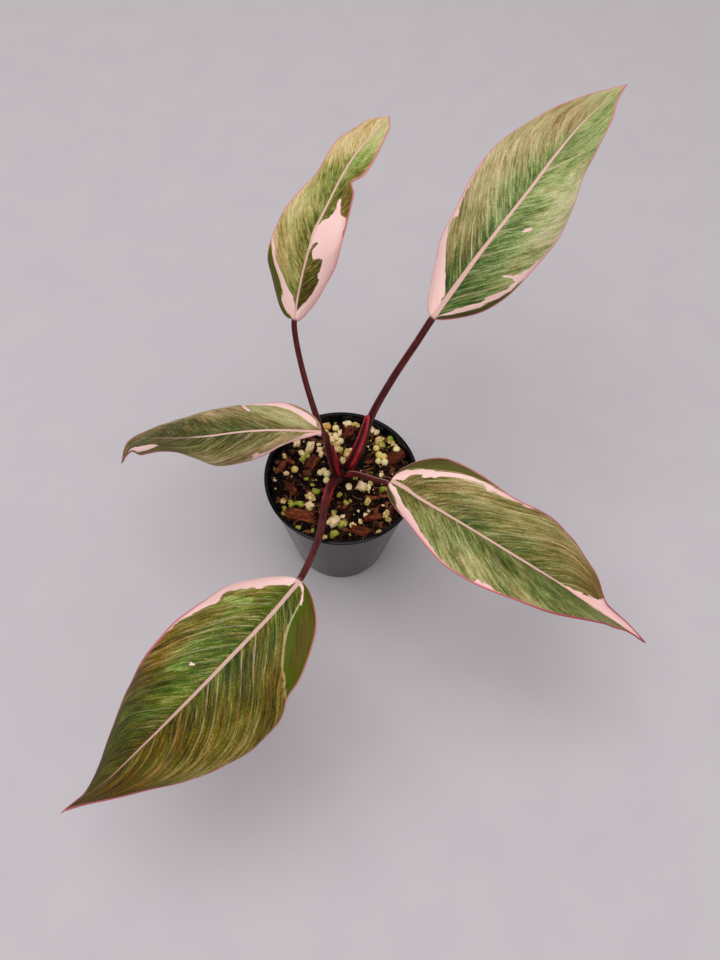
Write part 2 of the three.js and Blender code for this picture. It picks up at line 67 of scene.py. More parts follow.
# Sides are seen from the stalk, looking to the tip: -1 is left and 1 is right.
LEAVES = {
    1: dict(
        midrib=[[-23.5, 36, 138], [-18.5, 47.5, 160], [-12, 63, 176], [-2, 83, 186], [13, 107, 190]],
        width={
            -1: [16, 17.5, 19.5, 18.5, 17, 13, 10.5, 10, 9.5, 7.5],
            1: [6.5, 10, 12, 13, 12.5, 11, 10, 10.5, 10, 7.5],
        },
        lift=[10, 25], bend={-1: [100, 28, 28], 1: [105, 50, 0]}, roll=[-14, -2, 5],
        back=6.5, wave=[1, 4, {-1: 0.28, 1: 0.79}],
        nick=(1, 0.616, 3, 0.026),
    ),
    2: dict(
        midrib=[[37, 40, 140], [54, 57, 161], [71.5, 78, 177], [91.5, 107, 186], [120, 143, 188]],
        width={
            -1: [14.5, 18, 23, 24.5, 25.5, 24, 21, 16, 10, 6],
            1: [7.5, 17.5, 24, 26, 27, 23.5, 17.5, 14, 10.5, 4.5],
        },
        lift=[13, 24], bend={-1: [87, 53, 5], 1: [62, 87, 4]}, roll=[-7, -7, 6],
        back=3, wave=[1.1, 3.3, {-1: 0.6, 1: 0.55}],
    ),
    3: dict(
        midrib=[
            [-9, -5.5, 112], [-31, -9.5, 118], [-54, -8, 112], [-84, 0.5, 92], [-104.5, 8, 70],
            [-113, 6.5, 56],
        ],
        width={
            -1: [2, 7, 14.5, 18, 20, 14.5, 9, 7, 7.5, 2],
            1: [14, 16.5, 17.5, 18, 17, 16.5, 14, 10, 6, 5],
        },
        lift=[8, 8], bend={-1: [105, 108, 65], 1: [50, 70, 4]}, roll=[16, 16, 13],
        back=3, wave=[1.5, 2.55, {-1: 0.06, 1: 0.19}],
    ),
    4: dict(
        midrib=[
            [-13.5, -74, 108], [-31.5, -102.5, 112], [-50.5, -124, 104], [-73.5, -142, 84],
            [-105, -158, 51],
        ],
        width={
            -1: [14.5, 21, 27, 33, 34, 29.5, 22, 13.5, 8, 3.5],
            1: [21.5, 27.5, 28, 28, 27, 27, 25.5, 18, 9, 0.5],
        },
        lift=[23, 5], bend={-1: [35, 78, 29], 1: [76, 51, 50]}, roll=[-18, 7, -10],
        back=1, wave=[1.5, 3, {-1: 0.79, 1: 0.04}],
        nick=(-1, 0.26, 2.6, 0.036),
    ),
    5: dict(
        midrib=[
            [22.5, -21, 98], [50.5, -40.5, 104], [78, -54.5, 98], [108.5, -64, 82], [143.5, -73.5, 57.5],
        ],
        width={
            -1: [20.5, 22.5, 23, 24, 23.5, 23.5, 22.5, 14.5, 4, 3],
            1: [10, 12.5, 18, 23.5, 26.5, 24, 20, 16, 9.5, 2.5],
        },
        lift=[30, 34], bend={-1: [35, 26, 5], 1: [112, 46, 0]}, roll=[-6, 9, 12],
        back=4, wave=[1.5, 3.35, {-1: 0.65, 1: 0.8}],
    ),
}

# crimson: where along the stalk it is reddest, how far that reaches and how red it is. seam: the
# angle round the stalk of a pale line.
STALKS = {
    1: dict(
        path=[[-2.2, 3, 69], [-6.5, 6.5, 80], [-13, 13.5, 98], [-19, 24, 113.5], [-22.8, 32.2, 128]],
        radius=[2.1, 1.4, 1.25], winged=0.3, crimson=(0, 0.15, 0.5),
    ),
    2: dict(
        path=[[3.4, 3, 68], [8.3, 7.8, 78], [12.8, 16.5, 95], [21.3, 26, 112], [31.5, 35, 129.5]],
        radius=[2.3, 1.75, 1.6], winged=0.2, crimson=(0, 0.15, 0.5),
    ),
    3: dict(
        path=[[-2.6, -0.4, 70], [-4.6, -1.2, 84], [-6.6, -3, 98]],
        radius=[2.4, 1.9, 1.25], winged=0.7, crimson=(0.1, 0.3, 0.9), seam=195,
    ),
    4: dict(
        path=[[-0.9, -3.4, 69.5], [-4.6, -9.5, 72], [-6.2, -22, 79], [-7.2, -46, 91.5]],
        radius=[2.2, 1.8, 1.4], winged=0.25, crimson=(0.2, 0.1, 1),
    ),
    5: dict(
        path=[[3.3, -1, 69.5], [6.2, -3.4, 75], [11, -9.2, 83.5], [16.7, -15.8, 91.5]],
        radius=[1.9, 1.3, 1.25], winged=0.35, crimson=(0.1, 0.1, 0.8), seam=355,
    ),
}
KEEL_HEIGHT, KEEL_ANGLE, KEEL_SPREAD = 0.38, 58, 20
STALK_ELBOW = 1.8
# Stalks are darkened near their feet with painted shade, where they crowd together at the crown.
CROWN_SHADE = 9  # mm from its foot over which a stalk is darkened
INNER_LEAN = 0.8  # how far a stalk's inner side leans from straight up towards the crown
SPUR = dict(path=[[-1.9, -0.9, 76], [-3.1, 0.3, 85], [-4.4, 2.4, 91]], radius=[1.1, 0.9, 0.32])
BUD = dict(
    path=[[2.2, 3.6, 68.5], [5, 4.2, 75], [8.9, 8.7, 86.8], [11.4, 15.1, 98.6]],
    radius=[1.7, 2.1, 1.75, 1.1],
)

# Pale midrib lines: place along the blade, shift to the right in mm, half width in mm, how plain.
RIBS = {
    1: [
        (0, 0, 0.5, 1), (0.1, -0.55, 0.43, 1), (0.3, -0.65, 0.44, 1), (0.38, -0.75, 0.55, 1),
        (0.45, 0.2, 0.5, 1), (0.55, 0.8, 0.5, 1), (0.8, 0.6, 0.7, 0.85), (1, 0, 0.5, 0.6),
    ],
    2: [
        (0, 0.3, 1.3, 1), (0.1, 0.3, 1.2, 1), (0.2, 0.2, 0.97, 1), (0.3, 0.5, 0.78, 1),
        (0.5, 1.1, 0.68, 1), (0.63, 1.1, 0.6, 1), (0.75, 0.4, 0.45, 0.9), (0.85, 0, 0.35, 0.5),
        (1, 0, 0.2, 0),
    ],
    3: [
        (0, 0.6, 0.45, 1), (0.13, 0, 0.45, 1), (0.27, -0.7, 0.42, 1), (0.38, -1.7, 0.38, 1),
        (0.44, -1.95, 0.36, 0.8), (0.5, -1.9, 0.35, 0.3), (0.67, 0, 0.3, 0.2), (0.8, 2, 0.3, 0.1),
        (1, 0, 0.2, 0),
    ],
    4: [
        (0, -1.7, 1.3, 1), (0.1, -1.7, 1.1, 0.95), (0.2, -1, 0.9, 0.9), (0.3, -0.4, 0.75, 0.85),
        (0.5, 0, 0.52, 0.8), (0.6, 0, 0.4, 0.7), (0.7, -0.5, 0.3, 0.5), (0.78, -1, 0.25, 0.2),
        (1, 0, 0.2, 0),
    ],
    5: [
        (0, -1.5, 0.9, 1), (0.05, -1.5, 0.9, 1), (0.1, -0.6, 0.65, 1), (0.25, 0.2, 0.6, 1),
        (0.5, -0.4, 0.45, 1), (0.6, -0.3, 0.35, 1), (0.7, 0, 0.3, 0.3), (1, 0, 0.2, 0),
    ],
}

# Side veins: how far they sweep towards the tip at the stalk and how that changes along the
# blade, then for each one its place along the midrib and how plain it is.
VEINS = {
    1: {
        -1: dict(sweep=(0.26, -0.1), at=[
            (0.111, 0.3), (0.149, 0.2), (0.217, 0.6), (0.257, 0.2), (0.343, 0.5), (0.392, 0.25),
            (0.439, 0.4), (0.512, 0.2), (0.563, 0.4), (0.647, 0.25), (0.75, 0.15), (0.85, 0.1)]),
        1: dict(sweep=(0.16, 0), at=[
            (0.128, 0.2), (0.152, 0.2), (0.238, 0.3), (0.395, 0.4), (0.509, 0.2), (0.65, 0.15),
            (0.8, 0.1)]),
    },
    2: {
        -1: dict(sweep=(0.2, 0.1), at=[
            (0.135, 0.9), (0.191, 1.5), (0.225, 0.3), (0.264, 0.9), (0.307, 1), (0.348, 0.5),
            (0.373, 0.9), (0.41, 0.4), (0.477, 0.6), (0.583, 0.3), (0.648, 0.8), (0.678, 0.5)]),
        1: dict(sweep=(0.2, 0), at=[
            (0.022, 0.4), (0.045, 1), (0.081, 0.4), (0.129, 0.2), (0.155, 0.3), (0.213, 1),
            (0.271, 0.3), (0.293, 0.6), (0.331, 0.4), (0.375, 0.8), (0.473, 0.6), (0.519, 1.3),
            (0.58, 0.9), (0.632, 0.4)]),
    },
    3: {
        -1: dict(sweep=(0.04, 0.6), at=[
            (0.105, 0.4), (0.178, 0.5), (0.217, 0.8), (0.243, 0.2), (0.283, 0.3), (0.349, 0.5)]),
        1: dict(sweep=(0.42, -0.35), at=[
            (0.079, 0.2), (0.191, 0.3), (0.29, 0.2), (0.418, 0.3), (0.488, 0.2), (0.746, 0.3)]),
    },
    4: {
        -1: dict(sweep=(0.15, 0.28), at=[
            (0.038, 0.3), (0.065, 0.55), (0.1, 0.35), (0.135, 0.2), (0.157, 0.25), (0.18, 0.85),
            (0.231, 0.8), (0.27, 0.2), (0.317, 0.6), (0.351, 0.8), (0.419, 0.3), (0.444, 0.7),
            (0.545, 0.5)]),
        1: dict(sweep=(0.12, 0.3), at=[
            (0.055, 0.3), (0.081, 0.2), (0.096, 0.6), (0.147, 0.45), (0.178, 0.65), (0.202, 0.3),
            (0.243, 0.45), (0.287, 0.3), (0.329, 0.2), (0.359, 0.3), (0.451, 0.3), (0.477, 0.2)]),
    },
    5: {
        -1: dict(sweep=(0.16, 0.35), at=[
            (0.011, 0.4), (0.035, 0.7), (0.157, 0.6), (0.219, 0.2), (0.253, 0.3), (0.319, 0.95),
            (0.351, 0.4)]),
        1: dict(sweep=(0.15, 0.03), at=[
            (0.059, 0.4), (0.103, 0.4), (0.139, 0.6), (0.173, 0.3), (0.207, 0.5), (0.237, 0.8),
            (0.285, 0.4), (0.309, 0.6), (0.332, 0.4), (0.414, 0.6), (0.505, 0.3)]),
    },
}

# ---- markings ----

# pink, deep, pale, rust: outlines in (t, s), t along the blade and s across it, from -1 at the left
# margin to 1 at the right one. deep outlines the folded back parts, which are painted in shade.
# tints: a place in (t, s), how warm the green is there and how light; the lightness also paints in
# how much light and sheen falls on that part of the blade. glow: how strongly painted light shows
# through the folded back parts of the blade. red: how crimson the margin's line is towards the tip.
# right_hem: how many times wider that line is on the right half.

MARKS = {
    1: dict(
        glow=0.9, red=0.25,
        pink=[
            [(-0.05, 0.05), (0.067, -0.08), (0.1, -0.14), (0.113, -0.22), (0.133, -0.34), (0.167, -0.48),
             (0.2, -0.6), (0.233, -0.71), (0.267, -0.82), (0.3, -0.92), (0.327, -1), (0.34, -1.1),
             (0.32, -1.1), (0.3, -0.98), (0.267, -0.91), (0.233, -0.82), (0.2, -0.72), (0.173, -0.63),
             (0.147, -0.55), (0.127, -0.5), (0.11, -0.45), (0.093, -0.46), (0.083, -0.5), (0.067, -0.51),
             (0.047, -0.46), (0.027, -0.36), (0.017, -0.24), (-0.05, -0.2)],
            [(-0.05, 0.02), (0.03, 0.02), (0.06, 0.14), (0.08, 0.26), (0.1, 0.38), (0.127, 0.48),
             (0.153, 0.54), (0.18, 0.58), (0.2, 0.57), (0.212, 0.5), (0.223, 0.47), (0.247, 0.51),
             (0.273, 0.52), (0.287, 0.5), (0.29, 0.42), (0.28, 0.3), (0.27, 0.18), (0.28, 0.16),
             (0.293, 0.1), (0.313, 0.1), (0.333, 0.16), (0.343, 0.18), (0.34, 0.12), (0.327, 0.02),
             (0.31, 0), (0.32, -0.04), (0.407, -0.02), (0.417, 0.07), (0.433, 0.1), (0.437, 0.2),
             (0.447, 0.3), (0.467, 0.4), (0.487, 0.45), (0.527, 0.44), (0.537, 0.46), (0.533, 0.56),
             (0.5, 0.62), (0.487, 0.64), (0.48, 0.72), (0.477, 0.88), (0.46, 0.92), (0.413, 0.91),
             (0.393, 0.96), (0.373, 1.1), (-0.05, 1.1)],
        ],
        deep=[
            [(0.01, -0.24), (0.027, -0.36), (0.047, -0.46), (0.067, -0.51), (0.083, -0.5), (0.11, -0.45),
             (0.127, -0.5), (0.147, -0.55), (0.173, -0.63), (0.2, -0.72), (0.233, -0.82), (0.267, -0.91),
             (0.3, -0.98), (0.3, -1.1), (-0.05, -1.1)],
        ],
        tints=[
            (0.2, -0.4, 0.5, 0.9), (0.25, -0.7, 1, 1), (0.35, -0.15, 0.4, 0.6), (0.4, -0.55, 0.65, 1.1),
            (0.57, -0.3, 0.35, 0.72), (0.8, -0.5, 0.95, 1.15), (0.18, 0.3, 0.7, 0.35),
            (0.5, 0.25, 0.4, 0.65), (0.56, 0.7, 1, 0.55), (0.68, 0.4, 0.1, 0.85), (0.88, 0.4, 0.3, 1.2),
        ],
    ),
    2: dict(
        glow=0.1, red=0.3,
        pink=[
            [(-0.05, 0), (0.03, -0.03), (0.057, -0.09), (0.073, -0.1), (0.1, -0.24), (0.133, -0.42),
             (0.167, -0.58), (0.2, -0.72), (0.233, -0.84), (0.253, -0.9), (0.267, -0.92), (0.277, -0.88),
             (0.28, -0.8), (0.29, -0.82), (0.307, -0.88), (0.333, -0.92), (0.4, -0.945), (0.46, -0.97),
             (0.5, -1.1), (-0.05, -1.1)],
            [(0.01, 0.4), (0.04, 0.5), (0.063, 0.51), (0.083, 0.58), (0.097, 0.64), (0.113, 0.69),
             (0.133, 0.73), (0.14, 0.69), (0.16, 0.73), (0.193, 0.82), (0.223, 0.86), (0.227, 0.76),
             (0.212, 0.59), (0.219, 0.61), (0.23, 0.73), (0.253, 0.82), (0.28, 0.88), (0.333, 0.925),
             (0.4, 0.95), (0.5, 0.97), (0.55, 1.1), (0.26, 1.1), (0.247, 0.95), (0.2, 0.92), (0.16, 0.86),
             (0.133, 0.8), (0.107, 0.82), (0.087, 0.76), (0.06, 0.72), (0.04, 0.66), (0.02, 0.52)],
            [(0.343, 0.37), (0.352, 0.375), (0.367, 0.45), (0.363, 0.475), (0.352, 0.43)],
        ],
        deep=[
            [(-0.05, 0.4), (0.015, 0.5), (0.035, 0.66), (0.06, 0.74), (0.087, 0.78), (0.107, 0.84),
             (0.133, 0.82), (0.16, 0.88), (0.2, 0.94), (0.247, 0.97), (0.25, 1.1), (-0.05, 1.1)],
        ],
        tints=[
            (0.13, -0.15, 0.2, 0.45), (0.25, -0.5, 0.7, 0.85), (0.42, -0.6, 0.75, 0.95),
            (0.42, -0.15, 0, 0.75), (0.6, -0.6, 0.75, 0.95), (0.76, -0.5, 0.95, 0.88),
            (0.9, -0.5, 0.4, 1.05), (0.15, 0.3, 0.05, 0.55), (0.3, 0.65, 0.35, 0.95), (0.35, 0.2, 0, 0.65),
            (0.46, 0.6, 0.35, 1.3), (0.57, 0.3, 0.1, 0.8), (0.8, 0.5, 0.1, 0.9),
        ],
    ),
    3: dict(
        glow=0, red=0.8,
        pink=[
            [(0.02, 0.3), (0.033, 0.36), (0.053, 0.44), (0.073, 0.54), (0.1, 0.64), (0.147, 0.72),
             (0.187, 0.76), (0.233, 0.82), (0.267, 0.86), (0.293, 0.88), (0.28, 0.74), (0.25, 0.52),
             (0.257, 0.53), (0.28, 0.66), (0.3, 0.8), (0.317, 0.92), (0.33, 1.1), (0.16, 1.1),
             (0.133, 0.98), (0.107, 0.9), (0.08, 0.82), (0.04, 0.78), (0.02, 0.7)],
            [(-0.05, 0), (0.02, -0.06), (0.033, -0.15), (0.05, -0.3), (0.07, -0.47), (0.08, -0.62),
             (0.11, -0.68), (0.15, -0.74), (0.2, -0.8), (0.217, -0.75), (0.227, -0.69), (0.243, -0.72),
             (0.252, -0.86), (0.27, -1.1), (-0.05, -1.1)],
            [(0.66, -0.5), (0.7, -0.63), (0.747, -0.7), (0.793, -0.68), (0.833, -0.65), (0.88, -0.55),
             (0.92, -0.4), (0.89, -0.2), (0.867, -0.26), (0.8, -0.32), (0.747, -0.37), (0.707, -0.4),
             (0.68, -0.43)],
        ],
        pale=[
            [(0.02, 0.24), (0.04, 0.18), (0.073, 0.16), (0.113, 0.1), (0.147, 0.2), (0.193, 0.32),
             (0.233, 0.48), (0.26, 0.56), (0.28, 0.72), (0.293, 0.88), (0.187, 0.8), (0.1, 0.7),
             (0.053, 0.5)],
        ],
        tints=[
            (0.15, -0.5, 1, 0.95), (0.25, -0.2, 0.45, 0.45), (0.35, -0.65, 0.95, 0.85),
            (0.42, -0.2, 0.4, 0.4), (0.6, -0.4, 0.7, 0.45), (0.28, 0.15, 0.5, 0.4), (0.15, 0.45, 1.05, 0.8),
            (0.37, 0.6, 1, 0.8), (0.5, 0.75, 1, 0.85), (0.55, 0.25, 0.6, 0.35), (0.78, 0.5, 0.85, 0.6),
            (0.8, 0, 0.5, 0.45),
        ],
    ),
    4: dict(
        glow=1, red=0.75, right_hem=2.2,
        pink=[
            [(-0.05, 0.03), (0.03, 0.05), (0.041, 0.2), (0.052, 0.27), (0.063, 0.34), (0.079, 0.35),
             (0.087, 0.4), (0.093, 0.48), (0.103, 0.52), (0.11, 0.6), (0.12, 0.65), (0.127, 0.72),
             (0.137, 0.76), (0.157, 0.77), (0.163, 0.73), (0.193, 0.72), (0.203, 0.78), (0.227, 0.82),
             (0.267, 0.87), (0.3, 0.91), (0.347, 0.94), (0.4, 0.955), (0.43, 0.97), (0.44, 1.1),
             (-0.05, 1.1)],
            [(-0.02, -0.05), (0.03, -0.2), (0.02, -0.33), (0.018, -0.45), (0.028, -0.5), (0.036, -0.55),
             (0.05, -0.56), (0.066, -0.55), (0.073, -0.51), (0.07, -0.58), (0.045, -0.61), (0.02, -0.65),
             (-0.02, -0.5)],
            [(0.35, 0.28), (0.353, 0.28), (0.36, 0.33), (0.356, 0.33)],
        ],
        deep=[
            [(0.01, -0.62), (0.047, -0.59), (0.067, -0.58), (0.075, -0.51), (0.1, -0.48), (0.137, -0.47),
             (0.157, -0.5), (0.18, -0.55), (0.2, -0.61), (0.217, -0.67), (0.23, -0.78), (0.247, -0.88),
             (0.263, -0.98), (0.27, -1.1), (-0.05, -1.1)],
        ],
        pale=[
            [(0.12, 0.32), (0.135, 0.28), (0.15, 0.36), (0.165, 0.5), (0.175, 0.64), (0.155, 0.7),
             (0.14, 0.56)],
            [(0.35, 0.3), (0.365, 0.3), (0.395, 0.4), (0.425, 0.53), (0.41, 0.54), (0.385, 0.48),
             (0.362, 0.38)],
        ],
        rust=[
            [(0.567, -0.4), (0.6, -0.46), (0.64, -0.55), (0.668, -0.66), (0.69, -0.8), (0.675, -0.72),
             (0.645, -0.58), (0.6, -0.49)],
        ],
        tints=[
            (0.12, -0.25, 0.4, 0.5), (0.3, -0.2, 0.4, 0.4), (0.3, -0.7, 0.9, 0.5), (0.43, -0.75, 0.7, 0.6),
            (0.48, -0.35, 0.8, 0.35), (0.65, -0.25, 0.85, 0.45), (0.57, -0.62, 0.7, 0.6),
            (0.75, -0.55, 1, 0.25), (0.15, 0.5, 0.5, 0.75), (0.22, 0.25, 0.25, 0.45), (0.25, 0.7, 0.8, 0.6),
            (0.4, 0.3, 0.2, 0.6), (0.45, 0.8, 1, 0.4), (0.6, 0.4, 0.4, 0.4), (0.75, 0.3, 0.7, 0.3),
        ],
    ),
    5: dict(
        glow=0.3, red=0.9,
        pink=[
            [(-0.05, -0.1), (0.007, -0.27), (0.04, -0.26), (0.047, -0.4), (0.053, -0.46), (0.083, -0.48),
             (0.087, -0.42), (0.097, -0.44), (0.11, -0.49), (0.123, -0.5), (0.133, -0.58), (0.167, -0.68),
             (0.2, -0.74), (0.233, -0.8), (0.263, -0.84), (0.27, -0.78), (0.277, -0.78), (0.293, -0.84),
             (0.32, -0.88), (0.373, -0.93), (0.42, -0.95), (0.44, -1.1), (0.4, -1.1), (0.347, -0.97),
             (0.3, -0.93), (0.267, -0.9), (0.233, -0.86), (0.2, -0.81), (0.16, -0.74), (0.133, -0.69),
             (0.117, -0.65), (0.1, -0.64), (0.087, -0.62), (0.057, -0.61), (0.04, -0.64), (0.02, -0.68),
             (-0.05, -0.6)],
            [(-0.05, 0.03), (0.03, 0.12), (0.037, 0.24), (0.05, 0.36), (0.073, 0.48), (0.1, 0.6),
             (0.113, 0.6), (0.127, 0.66), (0.16, 0.76), (0.18, 0.84), (0.22, 0.9), (0.267, 0.94),
             (0.32, 0.96), (0.34, 1.1), (0.2, 1.1), (0.133, 0.97), (0.1, 0.92), (0.073, 0.84),
             (0.063, 0.72), (0.05, 0.58), (0.027, 0.5), (0.01, 0.44), (-0.05, 0.3)],
            [(0.368, 0.91), (0.383, 0.935), (0.395, 0.92), (0.403, 0.91), (0.41, 0.955), (0.43, 0.975),
             (0.5, 0.985), (0.5, 1.1), (0.36, 1.1)],
            [(0.6, 0), (0.667, -0.06), (0.707, -0.14), (0.74, -0.28), (0.76, -0.48), (0.767, -0.7),
             (0.78, -1.1), (0.99, -1.1), (0.99, 0), (0.93, 0.1), (0.87, 0.2), (0.8, 0.25), (0.733, 0.2),
             (0.667, 0.1)],
        ],
        deep=[
            [(-0.05, -0.68), (0.015, -0.7), (0.04, -0.67), (0.057, -0.64), (0.087, -0.65), (0.117, -0.68),
             (0.133, -0.72), (0.16, -0.77), (0.2, -0.84), (0.233, -0.89), (0.3, -0.96), (0.3, -1.1),
             (-0.05, -1.1)],
            [(-0.05, 0.3), (0.01, 0.47), (0.027, 0.53), (0.05, 0.61), (0.06, 0.74), (0.073, 0.87),
             (0.1, 0.95), (0.133, 1.1), (-0.05, 1.1)],
        ],
        tints=[
            (0.1, -0.35, 0.85, 0.65), (0.3, -0.6, 0.8, 0.9), (0.3, -0.2, 0.3, 0.55),
            (0.45, -0.65, 0.7, 0.7), (0.5, -0.2, 0.4, 0.6), (0.62, -0.5, 0.8, 0.8), (0.72, -0.5, 1, 0.45),
            (0.08, 0.25, 0.6, 0.55), (0.2, 0.4, 0.4, 0.75), (0.35, 0.2, 0.35, 0.6), (0.35, 0.75, 0.5, 0.8),
            (0.6, 0.3, 0.3, 0.65), (0.83, 0.5, 0.45, 0.75),
        ],
    ),
}

# ---- numbers and curves ----

MM = 0.001
CURVE_STEPS = 80
LATTICE_SIZE = 32  # rough() is smooth between the random heights of a lattice
LATTICE = np.random.default_rng(5).random((LATTICE_SIZE,) * 3) * 2 - 1
OCTAVE_SHIFT = 7.3


def smooth_at(stations, values, x):
    """The smooth curve through values at stations, with no overshoot between them."""
    stations, values = np.asarray(stations, float), np.asarray(values, float)
    steps = np.diff(stations)
    slopes = np.diff(values) / steps
    tangents = np.concatenate([slopes[:1], np.zeros(len(slopes) - 1), slopes[-1:]])
    for i in range(1, len(slopes)):
        if slopes[i - 1] * slopes[i] > 0:
            before = 2 * steps[i] + steps[i - 1]
            after = steps[i] + 2 * steps[i - 1]
            tangents[i] = (before + after) / (before / slopes[i - 1] + after / slopes[i])
    i = np.clip(np.searchsorted(stations, x, side="right") - 1, 0, len(steps) - 1)
    s = (x - stations[i]) / steps[i]
    return (
        (1 + 2 * s) * (1 - s) ** 2 * values[i]
        + s * (1 - s) ** 2 * steps[i] * tangents[i]
        + s * s * (3 - 2 * s) * values[i + 1]
        + s * s * (s - 1) * steps[i] * tangents[i + 1]
    )


def unit(vectors):
    return vectors / np.linalg.norm(vectors, axis=-1, keepdims=True)


def ramp(x, low, high):
    """0 below low, 1 above high, and smooth between them."""
    s = np.clip((x - low) / (high - low), 0, 1)
    return s * s * (3 - 2 * s)


def sample_curve(points, t):
    """Places and directions at shares t of the length of a centripetal curve, and its length."""
    p = np.asarray(points, float)
    p = np.vstack([2 * p[0] - p[1], p, 2 * p[-1] - p[-2]])
    fine = []
    for a, b, c, d in zip(p, p[1:], p[2:], p[3:]):
        d0, d1, d2 = (np.sum((y - x) ** 2) ** 0.25 for x, y in ((a, b), (b, c), (c, d)))
        m1 = (c - b) + d1 * ((b - a) / d0 - (c - a) / (d0 + d1))
        m2 = (c - b) + d1 * ((d - c) / d2 - (d - b) / (d1 + d2))
        u = np.linspace(0, 1, CURVE_STEPS, endpoint=False)[:, None]
        fine.append(b + m1 * u + (3 * (c - b) - 2 * m1 - m2) * u**2 + (2 * (b - c) + m1 + m2) * u**3)
    fine = np.vstack([*fine, p[-2:-1]])
    reach = np.concatenate([[0], np.cumsum(np.linalg.norm(np.diff(fine, axis=0), axis=1))])
    turning = np.gradient(fine, reach, axis=0)
    at = np.asarray(t) * reach[-1]
    place, forward = (
        np.stack([np.interp(at, reach, values[:, k]) for k in range(3)], -1) for values in (fine, turning)
    )
    return place, unit(forward), reach[-1]


def rough(points, octaves=1):
    """Smooth random relief between about -1 and 1 at points whose unit is one bump."""
    total, height = np.zeros(points.shape[:-1]), 1.0
    for octave in range(octaves):
        scaled = points * 2**octave + OCTAVE_SHIFT * octave
        base = np.floor(scaled).astype(int)
        f = scaled - base
        f = f * f * (3 - 2 * f)
        for corner in np.ndindex(2, 2, 2):
            share = np.prod(np.where(np.array(corner), f, 1 - f), axis=-1)
            cell = (base + corner) % LATTICE_SIZE
            total += height * share * LATTICE[cell[..., 0], cell[..., 1], cell[..., 2]]
        height *= 0.5
    return total


def outline_distance(points, outline):
    """Signed distance from points to a closed outline, above 0 inside it."""
    inside = np.zeros(points.shape[:-1], bool)
    nearest = np.full(points.shape[:-1], np.inf)
    x, y = points[..., 0], points[..., 1]
    for a, b in zip(outline, np.roll(outline, -1, axis=0)):
        edge = b - a
        share = np.clip(((points - a) @ edge) / (edge @ edge), 0, 1)
        nearest = np.minimum(nearest, np.linalg.norm(points - a - share[..., None] * edge, axis=-1))
        if a[1] != b[1]:
            crosses = (a[1] > y) != (b[1] > y)
            inside ^= crosses & (x < a[0] + (y - a[1]) * edge[0] / edge[1])
    return np.where(inside, nearest, -nearest)


# ---- pieces ----


def placed(name, data):
    """A new object of this data in the scene."""
    made = bpy.data.objects.new(name, data)
    bpy.context.scene.collection.objects.link(made)
    return made


def mesh_of(name, points, faces):
    """A mesh from points in mm."""
    mesh = bpy.data.meshes.new(name)
    mesh.from_pydata((np.asarray(points) * MM).tolist(), [], [list(map(int, f)) for f in faces])
    return mesh


def add_piece(name, points, faces, materials, nodes, fields=None, chosen=None):
    """A piece of the part from points in mm; fields are values at its points for its materials."""
    mesh = mesh_of(name, points, faces)
    for key, values in (fields or {}).items():
        values = np.asarray(values, np.float32).reshape(len(points), -1)
        vector = values.shape[1] == 3
        made = mesh.attributes.new(key, "FLOAT_VECTOR" if vector else "FLOAT", "POINT")
        made.data.foreach_set("vector" if vector else "value", values.ravel())
    for material in materials:
        mesh.materials.append(material)
    if chosen is not None:
        mesh.polygons.foreach_set("material_index", np.asarray(chosen, np.int32))
    mesh.polygons.foreach_set("use_smooth", np.ones(len(mesh.polygons), bool))
    mesh.update()
    piece = placed(name, mesh)
    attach(piece, "root")
    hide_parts(*nodes)
    return piece


def closed_loft(rings):
    """Points and faces of a closed body through rings, an array of (rings, count, 3).

    The rings turn anticlockwise about the way in which they advance.
    """
    rows, count = rings.shape[:2]
    i, k = np.meshgrid(np.arange(rows - 1), np.arange(count), indexing="ij")
    a, b = i * count + k, i * count + (k + 1) % count
    faces = np.stack([a, b, b + count, a + count], -1).reshape(-1, 4).tolist()
    faces.append(list(range(count))[::-1])
    faces.append(list(range((rows - 1) * count, rows * count)))
    return rings.reshape(-1, 3), faces


def stacked(bodies):
    """Points and faces of many bodies as one, from the (points, faces) of each."""
    points, faces, first = [], [], 0
    for places, corners in bodies:
        points.append(places)
        faces += [[k + first for k in face] for face in corners]
        first += len(places)
    return np.concatenate(points), faces


def circle(radius, z, count):
    angle = 2 * np.pi * np.arange(count) / count
    return np.stack([radius * np.cos(angle), radius * np.sin(angle), np.full(count, float(z))], -1)


# ---- materials ----


def srgb(red, green, blue):
    """A colour from its 8 bit values on a screen, as Blender's linear one."""
    values = [c / 255 for c in (red, green, blue)]
    return (*[c / 12.92 if c <= 0.04045 else ((c + 0.055) / 1.055) ** 2.4 for c in values], 1)


